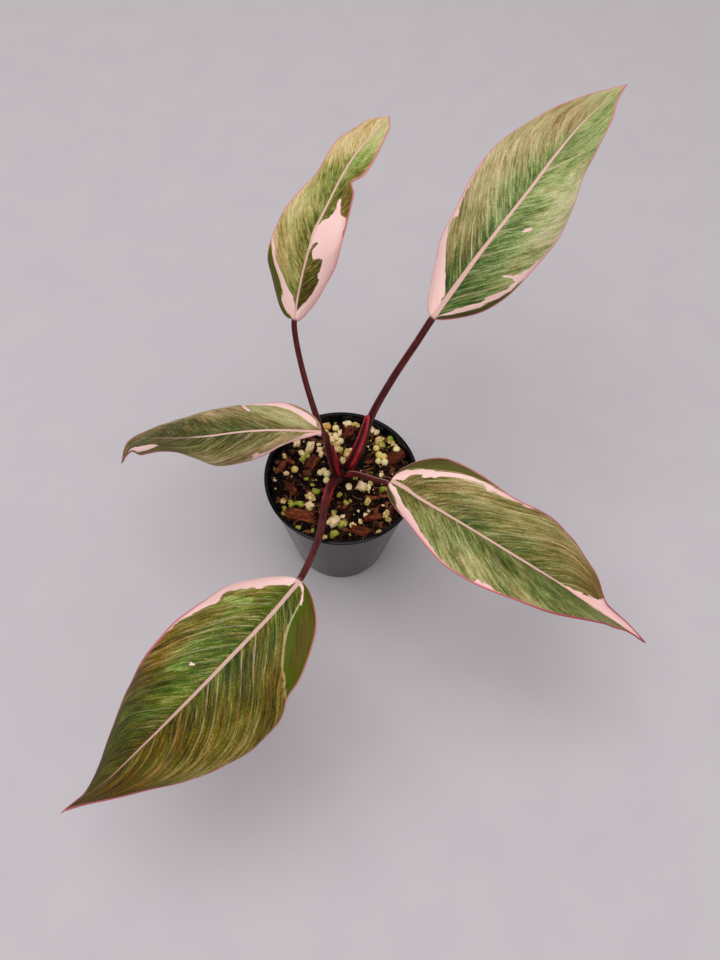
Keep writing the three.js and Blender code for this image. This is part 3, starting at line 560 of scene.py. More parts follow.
class Shader:
    """A node tree in the making. An input may be a socket, a number or a colour."""

    def __init__(self, name):
        self.material = bpy.data.materials.new(name)
        self.material.use_nodes = True
        self.tree = self.material.node_tree
        self.tree.nodes.clear()

    def node(self, kind, inputs, **settings):
        made = self.tree.nodes.new("ShaderNode" + kind)
        for key, value in settings.items():
            setattr(made, key, value)
        for key, value in inputs.items():
            if isinstance(value, bpy.types.NodeSocket):
                self.tree.links.new(value, made.inputs[key])
            else:
                made.inputs[key].default_value = value
        return made

    def field(self, name, output="Fac"):
        return self.node("Attribute", {}, attribute_name=name).outputs[output]

    def math(self, operation, a, b=0.0, c=0.0):
        return self.node("Math", {0: a, 1: b, 2: c}, operation=operation).outputs[0]

    def times(self, value, by, plus=0.0):
        return self.math("MULTIPLY_ADD", value, by, plus)

    def stretch(self, vector, x, y, z=1.0, shift=0.0):
        """The vector times (x, y, z), plus a shift on its third part."""
        inputs = {0: vector, 1: (x, y, z), 2: (0, 0, shift)}
        return self.node("VectorMath", inputs, operation="MULTIPLY_ADD").outputs[0]

    def noise(self, vector, scale=1.0, detail=2.0, roughness=0.5):
        inputs = {"Vector": vector, "Scale": scale, "Detail": detail, "Roughness": roughness}
        return self.node("TexNoise", inputs, noise_dimensions="3D").outputs["Fac"]

    def step(self, value, low, high, bottom=0.0, top=1.0):
        """bottom below low, top above high, and smooth between them."""
        inputs = {"Value": value, 1: low, 2: high, 3: bottom, 4: top}
        return self.node("MapRange", inputs, interpolation_type="SMOOTHSTEP").outputs[0]

    def near(self, value, low, high, most):
        """most below low, 0 above high, and smooth between them."""
        return self.step(value, low, high, bottom=most, top=0.0)

    def mix(self, share, a, b):
        return self.node("Mix", {0: share, 6: a, 7: b}, data_type="RGBA").outputs[2]

    def bump(self, height, distance, strength):
        inputs = {"Height": height, "Distance": distance, "Strength": strength}
        return self.node("Bump", inputs).outputs[0]

    def finish(self, **inputs):
        """Ends the tree in a Principled shader and gives the material."""
        named = {key.replace("_", " "): value for key, value in inputs.items()}
        shader = self.node("BsdfPrincipled", named)
        self.node("OutputMaterial", {"Surface": shader.outputs[0]})
        return self.material


PINK = srgb(255, 214, 209)
DEEP_PINK = srgb(246, 186, 184)
ROSE = srgb(230, 146, 152)
GREENS = srgb(32, 50, 18), srgb(84, 108, 48), srgb(164, 176, 112), srgb(216, 212, 168)
OLIVES = srgb(58, 44, 16), srgb(122, 96, 50), srgb(190, 162, 120), srgb(232, 210, 176)
# Painted light coming through the folded back parts of a blade; SHADY_GREEN below is their painted shade.
PAINTED_GLOW_GREEN = srgb(72, 90, 0)
SHADY_GREEN = srgb(92, 82, 44)
LINE = srgb(206, 200, 166)
BUFF = srgb(206, 166, 134)
RUST = srgb(190, 126, 92)
MARGIN_RED = srgb(160, 44, 74)
MIDRIB = srgb(232, 188, 180)
UNDER_RED = srgb(92, 38, 42)
UNDER_RIB = srgb(146, 60, 68)


class LeafShader(Shader):
    """One side of the blades, in layers from its green ground to its margin."""

    def __init__(self, name):
        super().__init__(name)
        self.vein = self.field("vein", "Vector")  # across the veins, along them, and the side, in mm
        bend = self.node("CombineXYZ", {0: self.times(self.along(0.2, 0.08, 71), 2.0, -1.0)}).outputs[0]
        self.vein = self.node("VectorMath", {0: self.vein, 1: bend}, operation="ADD").outputs[0]
        self.streaks = self.along(1.3, 0.08, 9, 5, 0.6)
        self.fine = self.along(3.2, 0.17, 15, 3, 0.65)
        self.speckle = self.along(4.2, 2.2, 33, 3, 0.65)
        self.teeth = self.along(1.0, 0.06, 47, 4, 0.65)
        self.margin, self.glow = self.field("margin"), self.field("glow")

    def along(self, x, y, shift=0, detail=2, roughness=0.5):
        """Noise with x bumps a mm across the side veins and y bumps a mm along them."""
        return self.noise(self.stretch(self.vein, x, y, shift=shift), 1.0, detail, roughness)

    def centred(self, value, gain, base):
        """base plus the value's departure from a half, times gain."""
        return self.math("ADD", self.times(value, gain, -0.5 * gain), base)

    def graded(self, value, shades):
        """The first shade at 0, and one shade further on for each half more."""
        colour = shades[0]
        for k, shade in enumerate(shades[1:]):
            colour = self.mix(self.times(value, 2.0, -k), colour, shade)
        return colour

    def ground(self):
        """The marbled greens and olives with fine pale threads, and the colour of those threads."""
        pale = self.step(self.centred(self.teeth, 3.5, self.field("pale")), -0.3, 0.3)
        # The light tint also paints in how much light and sheen falls on each part of a blade.
        tone = self.times(pale, 0.22, self.times(self.field("light"), 1.3, -0.31))
        tone = self.centred(self.streaks, 1.25, tone)
        tone = self.centred(self.along(0.22, 0.06, 0, 3, 0.6), 1.1, tone)
        tone = self.centred(self.fine, 1.5, self.centred(self.speckle, 1.1, tone))
        warm = self.math("SUBTRACT", self.field("warm"), 0.08)
        warm = self.times(pale, -0.45, self.centred(self.along(0.4, 0.07, 21, 4, 0.6), 1.5, warm))
        colour = self.mix(warm, self.graded(tone, GREENS), self.graded(tone, OLIVES))
        thread_tone = self.mix(warm, LINE, BUFF)
        threads = self.step(self.along(2.6, 0.07, 52, 3, 0.55), 0.58, 0.66, top=0.5)
        bunches = self.step(self.along(0.3, 0.05, 95), 0.45, 0.65)
        return self.mix(self.times(threads, bunches), colour, thread_tone), thread_tone

    def side_veins(self, colour, thread_tone):
        phase = self.field("phase")
        off_vein = self.math("SUBTRACT", phase, self.math("ROUND", phase))
        off_vein = self.times(off_vein, self.field("spacing"))
        vein = self.near(self.math("ABSOLUTE", off_vein), 0.07, 0.34, 0.7)
        broken = self.step(self.along(0.3, 0.12, 80), 0.3, 0.6, bottom=0.35, top=1.1)
        return self.mix(self.times(vein, self.times(self.field("plain"), broken)), colour, thread_tone)

    def rust(self, colour):
        inside = self.centred(self.teeth, 1.6, self.field("rust"))
        return self.mix(self.step(inside, -0.25, 0.25, top=0.85), colour, RUST)

    def folded_back(self, colour, thread_tone):
        """The deep zone of a half that is folded back, in painted shade. On blades that glow, painted light
        comes through it and a painted highlight runs along its fold.
        """
        inside = self.centred(self.teeth, 2.5, self.field("deep"))
        # Painted shade over the folded back part, and painted light coming through it, strongest next to
        # the fold.
        glow = self.times(self.step(self.field("deep"), 1.0, 5.0, bottom=1.0, top=0.1), self.glow)
        shady = self.mix(self.step(self.streaks, 0.3, 0.6), OLIVES[0], SHADY_GREEN)
        tone = self.mix(self.times(glow, self.step(self.streaks, 0.22, 0.46)), shady, PAINTED_GLOW_GREEN)
        colour = self.mix(self.step(inside, -0.25, 0.25, top=0.96), colour, tone)
        # A pale line painted along the fold as a highlight.
        border = self.near(self.math("ABSOLUTE", inside), 0.15, 0.6, 0.65)
        return self.mix(self.times(border, self.glow), colour, thread_tone)

    def deepened(self, colour):
        """Blades painted as lit through are deeper in colour."""
        inputs = {
            "Value": self.step(self.speckle, 0.3, 0.7, bottom=0.86, top=1.14),
            "Saturation": self.times(self.glow, 0.2, 1.0),
            "Color": colour,
        }
        return self.node("HueSaturation", inputs).outputs[0]

    def sectors(self, colour):
        """The pink sectors, rosier at the margin, and how far inside them a place is."""
        blush = self.step(self.along(0.15, 0.05, 60), 0.4, 0.75, top=0.4)
        rosy = self.mix(self.near(self.margin, 0.4, 3.0, 0.45), self.mix(blush, PINK, DEEP_PINK), ROSE)
        inside = self.centred(self.teeth, 3.5, self.field("pink"))
        return self.mix(self.step(inside, -0.12, 0.12), colour, rosy), inside

    def upper_side(self, colour, rib):
        """The pale midrib and the rosy margin, and how plain the margin's line is."""
        colour = self.mix(self.times(self.near(rib, 0.8, 1.12, 0.95), self.field("clear")), colour, MIDRIB)
        colour = self.mix(self.near(self.margin, 0.4, 1.2, 0.45), colour, ROSE)
        return colour, self.near(self.math("DIVIDE", self.margin, self.field("hem")), 0.32, 0.72, 0.95)

    def under_side(self, colour, rib, pink):
        """The red that dulls the underside, and how plain the margin's line is."""
        colour = self.mix(self.step(pink, -0.4, 0.4, bottom=0.72, top=0.22), colour, UNDER_RED)
        colour = self.mix(self.near(rib, 1.0, 1.5, 0.9), colour, UNDER_RIB)
        return colour, self.near(self.margin, 0.4, 0.8, 0.7)


def leaf_material(name, upper):
    s = LeafShader(name)
    colour, thread_tone = s.ground()
    colour = s.rust(s.side_veins(colour, thread_tone))
    colour = s.deepened(s.folded_back(colour, thread_tone))
    colour, pink = s.sectors(colour)
    rib = s.math("ABSOLUTE", s.field("rib"))
    colour, line = s.upper_side(colour, rib) if upper else s.under_side(colour, rib, pink)
    relief = s.times(s.fine, 0.5, s.times(s.streaks, 0.5, s.speckle))
    return s.finish(
        Base_Color=s.mix(line, colour, s.mix(s.field("red"), ROSE, MARGIN_RED)),
        Roughness=s.step(s.streaks, 0.3, 0.7, bottom=0.45, top=0.6),
        Specular_IOR_Level=0.14,
        Normal=s.bump(relief, 0.0001, 0.5),
    )


def stalk_material():
    s = Shader("stalk_skin")
    skin = s.field("skin", "Vector")  # round the stalk, along it, and the piece, in mm
    broad = s.noise(s.stretch(skin, 0.5, 0.06), detail=3)
    dashes = s.noise(s.stretch(skin, 3.2, 0.35, shift=5), detail=3, roughness=0.6)
    dark = s.field("dark")
    colour = s.mix(s.step(broad, 0.35, 0.7), srgb(52, 12, 13), srgb(100, 31, 29))
    colour = s.mix(s.step(dashes, 0.5, 0.72, top=0.45), colour, srgb(146, 64, 58))
    colour = s.mix(s.step(broad, 0.6, 0.8, top=0.4), colour, srgb(74, 56, 26))
    red = s.mix(s.step(dashes, 0.4, 0.7), srgb(160, 14, 36), srgb(218, 66, 84))
    colour = s.mix(s.step(s.field("crimson"), 0.1, 0.8), colour, red)
    # dark: painted shade, near black, where the stalks crowd at the crown and in the bud's channel.
    colour = s.mix(s.times(dark, 0.85), colour, srgb(30, 4, 10))
    return s.finish(
        Base_Color=s.mix(s.field("blush"), colour, MIDRIB),
        Roughness=s.times(dark, 0.4, s.step(dashes, 0.3, 0.7, bottom=0.3, top=0.42)),
        Specular_IOR_Level=0.22,
        Normal=s.bump(dashes, 0.0001, 0.5),
    )


def pot_material():
    s = Shader("pot_plastic")
    place = s.node("TexCoord", {}).outputs["Object"]
    grain = s.noise(place, scale=2600, detail=2)
    flow = s.noise(s.stretch(place, 90, 90, 8), detail=3)
    dust = s.noise(place, scale=260, detail=5, roughness=0.7)
    colour = s.mix(s.step(flow, 0.3, 0.7), srgb(8, 9, 10), srgb(18, 19, 22))
    return s.finish(
        Base_Color=s.mix(s.step(dust, 0.66, 0.84, top=0.2), colour, srgb(70, 62, 54)),
        Roughness=s.times(dust, 0.16, s.step(flow, 0.2, 0.8, bottom=0.03, top=0.1)),
        Specular_IOR_Level=0.2,
        Normal=s.bump(s.times(flow, 6.0, grain), 0.00001, 0.7),
    )


def grain_material(
    name, dark, middle, light, roughness, fine, stretch=(1, 1, 1), depth=0.0001, gloss=0.1,
    by_grain=0.9, mottle=0.9,
):
    """Loose grains, dark to light. by_grain and mottle are how far a grain's own tone and its
    mottling choose between the shades."""
    s = Shader(name)
    fibre = s.noise(s.stretch(s.field("grain", "Vector"), *stretch), scale=fine, detail=5, roughness=0.65)
    value = s.times(fibre, mottle, s.times(s.field("tone"), by_grain, 0.5 - 0.5 * by_grain - 0.5 * mottle))
    colour = s.mix(s.step(value, 0.1, 0.5), srgb(*dark), srgb(*middle))
    return s.finish(
        Base_Color=s.mix(s.step(value, 0.45, 0.9), colour, srgb(*light)),
        Roughness=s.step(fibre, 0.3, 0.7, bottom=roughness[0], top=roughness[1]),
        Specular_IOR_Level=gloss,
        Normal=s.bump(fibre, depth, 0.8),
    )


# ---- blades ----

ROWS = 320
BUNCHING = 1.3  # points are closer near the foot of the blade and near the midrib
SHARES = np.concatenate([(np.arange(36) / 35) ** BUNCHING * 0.975, [0.985, 0.9935, 0.998, 1]])
LEAF_THICKNESS = 0.5  # finer than the thickness of BLADE, which is that of the CAD source
EDGE_ROUNDING = 0.3
TIP_LENGTH = 0.03
VEIN_SLANT = 0.5  # mm from vein to vein for each mm between their starts on the midrib
VEIN_WANDER = 0.004  # how far a side vein strays from its curve, in t
FAINT, FAINT_STEP = 0.15, 0.05  # how plain the unlisted side veins are, and how far apart in t
ROLL_HEIGHT, PLEAT_DEPTH, PLEAT_WIDTH = 0.04, 0.13, 0.7
GROOVE_DEPTH, GROOVE_BORDER = 0.3, 0.3
MARKS_WIDE = 22  # the half width in mm at which the markings and their noise are laid out
FAR_OUTSIDE = -30.0
TINT_LONG, TINT_WIDE = 0.1, 0.3  # how far a tint reaches, in t and in s
HEM_WIDTH = 0.8


def blade_frames(leaf, t):
    """The midrib's places at t, its directions ahead, to the right and up there, and its length."""
    origin, forward, length = sample_curve(leaf["midrib"], t)
    right = unit(np.cross(forward, [0, 0, 1]))
    up = np.cross(right, forward)
    lean = np.radians(smooth_at(BEND_STATIONS, leaf["roll"], t))[:, None]
    rolled_right = np.cos(lean) * right + np.sin(lean) * up
    rolled_up = np.cos(lean) * up - np.sin(lean) * right
    return origin, forward, rolled_right, rolled_up, length


def round_base(t):
    s = np.clip(t / BLADE["round_base"], 0, 1)
    return np.sqrt(1 - (1 - s) ** 2)


def half_width(leaf, side, t):
    least = BLADE["rib_half_width"] + (BLADE["tip_half_width"] - BLADE["rib_half_width"]) * t
    least = least * np.clip(0.2 + (1 - t) / TIP_LENGTH, 0, 1)
    width = smooth_at(WIDTH_STATIONS, [*leaf["width"][side], 0], t)
    nicked, at, depth, reach = leaf.get("nick", (0, 0, 0, 1))
    if nicked == side:
        width = width - depth * np.exp(-(((t - at) / reach) ** 2))
    return np.maximum(least, width * round_base(t))


def vein_share(sweep, t, v):
    """Where along the midrib the side vein through a place starts."""
    return t - (sweep[0] + sweep[1] * t) * v * (0.85 + 0.3 * v)


def vein_fields(veins, share, length):
    """The phase, a whole number on each vein, the mm from one to the next, and how plain each is."""
    at, plain = (np.array(column) for column in zip(*veins["at"]))
    # Faint veins at even steps go on beyond the listed ones at both ends.
    before = np.arange(at[0] - FAINT_STEP, -0.5, -FAINT_STEP)[::-1]
    after = np.arange(at[-1] + FAINT_STEP, 1.2, FAINT_STEP)
    at = np.concatenate([before, at, after])
    plain = np.concatenate([FAINT + 0 * before, plain, FAINT + 0 * after])
    order = np.arange(len(at))
    phase = np.interp(share, at, order)
    spacing = np.interp(phase, order, np.gradient(at)) * length * VEIN_SLANT
    return phase, spacing, np.interp(phase, order, plain)


def blade_half(number, frames, side, t):
    """The two faces of one half of a blade and what its materials read, as (rows, shares) arrays."""
    leaf, veins = LEAVES[number], VEINS[number][side]
    origin, forward, right, up, length = frames
    t, v = np.meshgrid(t, SHARES, indexing="ij")
    width = half_width(leaf, side, t)
    lift = np.radians(smooth_at([0, 1], leaf["lift"], t))
    bend = np.radians(smooth_at(BEND_STATIONS, leaf["bend"][side], t))
    bend = np.where(np.abs(bend) < 1e-3, 1e-3, bend)
    slope = lift - bend * v
    outward = width * (np.sin(lift) - np.sin(slope)) / bend
    upward = width * (np.cos(slope) - np.cos(lift)) / bend
    height, waves, start = leaf["wave"]
    wave = height * v * v * np.sin(2 * np.pi * (waves * t + start[side])) * np.minimum(1, width / 12)
    back = leaf["back"] * round_base(t) * np.exp(-t / BLADE["back_length"]) * v
    point = (
        origin[:, None] + side * outward[..., None] * right[:, None]
        + (upward + wave)[..., None] * up[:, None] - back[..., None] * forward[:, None]
    )
    normal = np.cos(slope)[..., None] * up[:, None] - side * np.sin(slope)[..., None] * right[:, None]
    normal[:, 0] = up

    across = v * width
    share = vein_share(veins["sweep"], t, v)
    share = share + VEIN_WANDER * rough(np.stack([9 * t, 2 * v, 0 * t + side], -1))
    phase, spacing, plain = vein_fields(veins, share, length)
    off_vein = (phase - np.round(phase)) * spacing
    pleat = ROLL_HEIGHT * np.cos(2 * np.pi * (phase + 0.5))
    pleat = pleat - PLEAT_DEPTH * plain * np.exp(-((off_vein / PLEAT_WIDTH) ** 2))
    pleat *= ramp(across, 0.8, 3) * ramp(1 - v, 0, 0.12) * ramp(1 - t, 0, 0.25)

    at, *lines = np.array(RIBS[number]).T
    shift, rib_half, clear = (smooth_at(at, line, t) for line in lines)
    off_rib = side * across - shift
    groove = GROOVE_DEPTH * (1 - 0.6 * t) * np.exp(-((off_rib / (rib_half + GROOVE_BORDER)) ** 2))
    edge = (1 - v) * width
    rounding = 1 - np.minimum(edge, EDGE_ROUNDING) / EDGE_ROUNDING
    half = 0.5 * LEAF_THICKNESS * np.sqrt(1 - rounding**2)
    rib_width = BLADE["rib_half_width"] * (1 - 0.7 * t)
    rib = np.sqrt(np.clip(1 - (across / rib_width) ** 2, 0, 1))
    rib_depth = (BLADE["rib_depth"] + BLADE["thickness"] - LEAF_THICKNESS) * (1 - 0.85 * t) * rib
    return dict(
        top=point + (half - 0.5 * LEAF_THICKNESS - groove + pleat)[..., None] * normal,
        under=point - (half + 0.5 * LEAF_THICKNESS + rib_depth - pleat)[..., None] * normal,
        t=t, s=side * v, rib=off_rib / rib_half, clear=clear, margin=edge, phase=phase, spacing=spacing,
        plain=plain * ramp(across, 0.5, 2.5) * (1 - 0.5 * v),
        vein=np.stack([share * length * VEIN_SLANT, 2 * v * MARKS_WIDE, 0 * t + side * 3.7], -1),
    )


def marking_fields(number, t, s, length):
    """The fields of the markings: distances inside their outlines in mm, tints and margins."""
    marks, scale = MARKS[number], (length, MARKS_WIDE)
    places = np.stack([t, s], -1) * scale
    fields = {}
    for key in ("pink", "deep", "pale", "rust"):
        fields[key] = np.full(t.shape, FAR_OUTSIDE)
        for outline in marks.get(key, []):
            inside = outline_distance(places, np.array(outline) * scale)
            fields[key] = np.maximum(fields[key], inside)
    total, warm, light = 1e-6 + 0 * t, 0 * t, 0 * t
    for at, across, warmth, lightness in marks["tints"]:
        weight = np.exp(-(((t - at) / TINT_LONG) ** 2) - (((s - across) / TINT_WIDE) ** 2))
        total += weight
        warm += weight * warmth
        light += weight * lightness
    red = marks["red"] * (0.4 + 0.6 * ramp(t, 0.1, 0.7))
    hem = HEM_WIDTH * (1 + red) * np.where(s > 0, marks.get("right_hem", 1), 1)
    glow = np.full(t.shape, marks["glow"])
    return dict(fields, warm=warm / total, light=light / total, glow=glow, red=red, hem=hem)


def sheet(at):
    """The quads between neighbours in a grid of point numbers."""
    return np.stack([at[:-1, :-1], at[:-1, 1:], at[1:, 1:], at[1:, :-1]], -1).reshape(-1, 4)


def blade(number, materials):
    t = (np.arange(ROWS + 1) / ROWS) ** BUNCHING
    frames = blade_frames(LEAVES[number], t)
    left, right = (blade_half(number, frames, side, t) for side in (-1, 1))
    whole = {key: np.concatenate([left[key][:, ::-1], right[key][:, 1:]], axis=1) for key in left}
    top, under, t, s = (whole.pop(key) for key in ("top", "under", "t", "s"))
    whole.update(marking_fields(number, t, s, frames[4]))

    # The two faces share the points of both margins.
    at_top = np.arange(t.size).reshape(t.shape)
    at_under = at_top.copy()
    inner = at_under[:, 1:-1]
    inner[:] = t.size + np.arange(inner.size).reshape(inner.shape)
    upper = sheet(at_top).tolist()
    start, end = ([*at_top[row], *at_under[row, -2:0:-1]] for row in (0, -1))
    faces = [*upper, *sheet(at_under)[:, ::-1].tolist(), start[::-1], end]
    chosen = [0] * len(upper) + [1] * (len(faces) - len(upper))

    def both(above, below):
        return np.concatenate([above.reshape(t.size, -1), below[:, 1:-1].reshape(inner.size, -1)])

    fields = {key: both(values, values) for key, values in whole.items()}
    name, node = f"blade_{number}", f"leaf_{number}"
    add_piece(name, both(top, under), faces, materials, [node], fields, chosen)


# ---- stalks, bud and crown ----

SKIN_RADIUS = 3
STALK_REACH, STALK_SUNK = 0.03, 0.95  # where a stalk ends: t in the blade, mm under the midrib
SEAM_WIDTH = 9


def off_angle(angle, middle=0):
    """How many degrees an angle in radians is from one in degrees, the shorter way round."""
    return np.abs((np.degrees(angle) - middle + 180) % 360 - 180)


def keels(angle):
    return KEEL_HEIGHT * np.exp(-(((off_angle(angle) - KEEL_ANGLE) / KEEL_SPREAD) ** 2))


def swept(points, steps, sides, radius_at):
    """Rings along a curve; radius_at(t, angle) has angle 0 on the side turned to the crown."""
    t = np.linspace(0, 1, steps + 1)
    centre, forward, length = sample_curve(points, t)
    outward = unit(centre * [1, 1, 0])
    inner = np.array([0, 0, 1]) - INNER_LEAN * outward
    inner = unit(inner - np.sum(inner * forward, axis=1, keepdims=True) * forward)
    across = np.cross(forward, inner)
    t, angle = np.meshgrid(t, 2 * np.pi * np.arange(sides) / sides, indexing="ij")
    radius = radius_at(t, angle)
    rings = (
        centre[:, None] + (radius * np.cos(angle))[..., None] * inner[:, None]
        + (radius * np.sin(angle))[..., None] * across[:, None]
    )
    return rings, t, angle, length


def skinned(name, slot, node, sweep, shift, material, **fields):
    """A piece from what swept gives, in the stalks' skin, whose noise is moved on by shift."""
    rings, t, angle, length = sweep
    points, faces = closed_loft(rings)
    skin = [SKIN_RADIUS * np.cos(angle), t * length, SKIN_RADIUS * np.sin(angle) + shift]
    add_piece(name, points, faces, [material], [node], dict(fields, skin=np.stack(skin, -1)))


def stalk(number, material):
    spec, leaf = STALKS[number], LEAVES[number]
    origin, forward, _, up = (values[0] for values in blade_frames(leaf, np.array([0, 1]))[:4])
    joint = origin - 0.5 * (BLADE["thickness"] + BLADE["rib_depth"]) * up
    inside = sample_curve(leaf["midrib"], [0, STALK_REACH])[0][1] - STALK_SUNK * up
    path = [*spec["path"], joint - STALK_ELBOW * forward, joint, inside]
    blade_foot = 1 - np.linalg.norm(inside - joint) / sample_curve(path, [0, 1])[2]

    def radius_at(t, angle):
        along = np.clip(t / blade_foot, 0, 1)
        wing = np.clip(1 - along / spec["winged"], 0, None)
        plain = smooth_at([0, 0.5, 1], spec["radius"], along)
        return plain * (1 + wing * keels(angle)) * (1 - 0.6 * ramp(t, blade_foot, 1))

    sweep = swept(path, 90, 36, radius_at)
    _, t, angle, length = sweep
    reddest, spread, strength = spec["crimson"]
    crimson = strength * np.exp(-(((t - reddest) / spread) ** 2))
    crimson = crimson * (0.15 + 0.85 * keels(angle) / KEEL_HEIGHT)
    seam = np.exp(-((off_angle(angle, spec.get("seam", 0)) / SEAM_WIDTH) ** 2)) * ramp(t, 0, 0.1)
    blush = np.maximum(
        0.9 * ramp(t, blade_foot - 0.008, blade_foot + 0.006), 0.45 * seam * ("seam" in spec))
    # Painted shade near the crown.
    dark = ramp(-t * length, -CROWN_SHADE, 0) * (1 - 0.9 * crimson)
    skinned(
        f"petiole_{number}", "stalk", f"stalk_{number}", sweep, 11 * number, material,
        crimson=crimson, blush=blush, dark=dark,
    )


def spur(material):
    """The free tip of the sheath at the foot of stalk 3."""
    def radius_at(t, angle):
        return smooth_at([0, 0.5, 1], SPUR["radius"], t) * (1 - 0.2 * np.abs(np.cos(angle)))

    sweep = swept(SPUR["path"], 40, 20, radius_at)
    t = sweep[1]
    # The spur's foot is darkened with painted shade near the crown.
    crimson, dark = 0.95 - 0.5 * ramp(t, 0.6, 1), 0.6 * ramp(-t, -0.3, 0)
    skinned("stipule", "stalk", "stalk_3", sweep, 70, material, crimson=crimson, dark=dark)


def bud(material):
    def radius_at(t, angle):
        size = smooth_at([0, 0.3, 0.7, 1], BUD["radius"], t)
        tip = np.sqrt(np.clip(1 - ((t - 0.94) / 0.06).clip(0, 1) ** 2, 0.04, 1))
        return size * (1 + keels(angle) * (1 - 0.6 * t)) * tip

    sweep = swept(BUD["path"], 100, 48, radius_at)
    _, t, angle, length = sweep
    crimson = 0.12 + keels(angle) / KEEL_HEIGHT * ramp(t, 0, 0.25) + 0.5 * ramp(t, 0.85, 1)
    # Painted shade in the channel between the keels on the side turned to the crown, and near the crown.
    fold = 0.75 * ramp(-off_angle(angle), -34, -12) * (1 - ramp(t, 0.8, 1))
    dark = np.maximum(fold, ramp(-t * length, -CROWN_SHADE, 0))
    skinned("bud", "sheath", "bud_sheath", sweep, 90, material, crimson=crimson, dark=dark)


def crown(material):
    t = np.linspace(0, 1, 60)
    z = STEM["foot"] + t * (STEM["top"] - STEM["foot"])
    joints = 1 + 0.05 * np.exp(-(((t * 6) % 1 - 0.5) / 0.12) ** 2)
    radius = smooth_at(STEM["stations"], STEM["radii"], t) * joints
    points, faces = closed_loft(np.stack([circle(r, height, 40) for r, height in zip(radius, z)]))
    fields = dict(
        # The crown is darkened with painted shade, deep among the stalks.
        crimson=np.full(len(points), 0.1), dark=np.full(len(points), 0.9),
        skin=np.stack([points[:, 0], points[:, 2] * 2, points[:, 1] + 120], -1),
    )
    add_piece("crown", points, faces, [material], ["stem"], fields)


# ---- pot ----

ROUND_POT, ROUND_HOLE, ROUND_CORNER = 160, 32, 6
FOOT_RING = 3.2
HOLLOW = 0.5  # how far the floor's underside is raised


def wall_radius(z):
    share = (z - POT["foot_height"]) / (POT["height"] - POT["foot_height"])
    foot = POT["foot_radius"] + POT["foot_step"]
    return foot + share * (POT["rim_radius"] - POT["lip_width"] - foot)


def rounded(profile):
    """A profile of (radius, z, corner) with each corner turned into an arc of that size."""
    made = []
    for i, (r, z, corner) in enumerate(profile):
        here = np.array([r, z], float)
        if not corner:
            made.append(here)
            continue
        before = np.array(profile[i - 1][:2], float)
        after = np.array(profile[(i + 1) % len(profile)][:2], float)
        a = here + corner * unit(before - here)
        b = here + corner * unit(after - here)
        for u in np.linspace(0, 1, ROUND_CORNER):
            made.append((1 - u) ** 2 * a + 2 * u * (1 - u) * here + u * u * b)
    return made


def nursery_pot(material):
    height, wall, floor = POT["height"], POT["wall"], POT["floor"]
    foot, foot_top, rim = POT["foot_radius"], POT["foot_height"], POT["rim_radius"]
    lip_foot = height - POT["lip_height"]
    profile = rounded([
        (foot - FOOT_RING, 0, 0.3), (foot, 0, 0.45), (foot, foot_top - 0.2, 0.12),
        (wall_radius(foot_top), foot_top + 0.1, 0.2),
        (wall_radius(lip_foot - 0.1), lip_foot - 0.1, 0.25), (rim, lip_foot + 0.25, 0.3),
        (rim, height, 0.45), (wall_radius(height) - wall, height, 0.3),
        (wall_radius(height - 3) - wall, height - 3, 0),
        (wall_radius(floor + 1) - wall, floor + 0.2, 0.8), (foot - 4, floor, 0),
    ])
    # Inside the foot ring the floor's underside is raised.
    profile = [(2, HOLLOW), (foot - FOOT_RING - 0.2, HOLLOW), *profile, (2, floor)]
    points, faces = closed_loft(np.stack([circle(r, z, ROUND_POT) for r, z in profile]))
    drilled(add_piece("nursery_pot", points, faces, [material], ["pot"]))


def drilled(piece):
    """Cuts the drain holes through the pot's floor."""
    cuts = []
    for k in range(POT["drain_holes"]):
        angle = (k + 0.5) * 2 * math.pi / POT["drain_holes"]
        centre = [POT["drain_circle"] * math.cos(angle), POT["drain_circle"] * math.sin(angle), 0]
        ends = [circle(POT["drain_radius"], z, ROUND_HOLE) + centre for z in (-1, POT["floor"] + 1)]
        cuts.append(closed_loft(np.stack(ends)))
    cutter = placed("drain_cuts", mesh_of("drain_cuts", *stacked(cuts)))
    cut = piece.modifiers.new("drain", "BOOLEAN")
    cut.operation, cut.object, cut.solver = "DIFFERENCE", cutter, "EXACT"
    whole = piece.evaluated_get(bpy.context.evaluated_depsgraph_get())
    made = bpy.data.meshes.new_from_object(whole)
    piece.modifiers.clear()
    piece.data = made
    made.set_sharp_from_angle(angle=math.radians(50))
    bpy.data.objects.remove(cutter)


# ---- mix ----

# Bark chips: x, y, length, width, height and turn in degrees.
BARK = [
    [-18.5, -22, 15, 5.5, 4, -8], [28, 16, 14, 6.5, 4, 40], [-15, 8.5, 9, 4.5, 3.5, 62],
    [-24.5, -7, 8, 3.5, 3.5, -48], [10.5, -28, 10, 3.8, 3, -14], [2.5, 28.5, 7, 4.5, 3.5, 80],
    [17, -20.5, 9, 3.2, 2.6, 12], [-30, 6, 6, 3, 2.6, 75],
]
# Grains of feed, as (x, y).
PRILLS = [
    (-4.7, 30), (-9, 30.8), (1.9, 36), (-1.8, 22), (16.6, 19), (27, 19), (18.2, 14.8),
    (20.6, 14.2), (17.9, 11.2), (21.2, 10.8), (-23.5, 3.6), (-10.7, 2.6), (-7.3, 2), (-7.3, -2),
    (-10, 27), (-8.5, 23),
]
GREEN_PRILL = (23.7, 25.5)
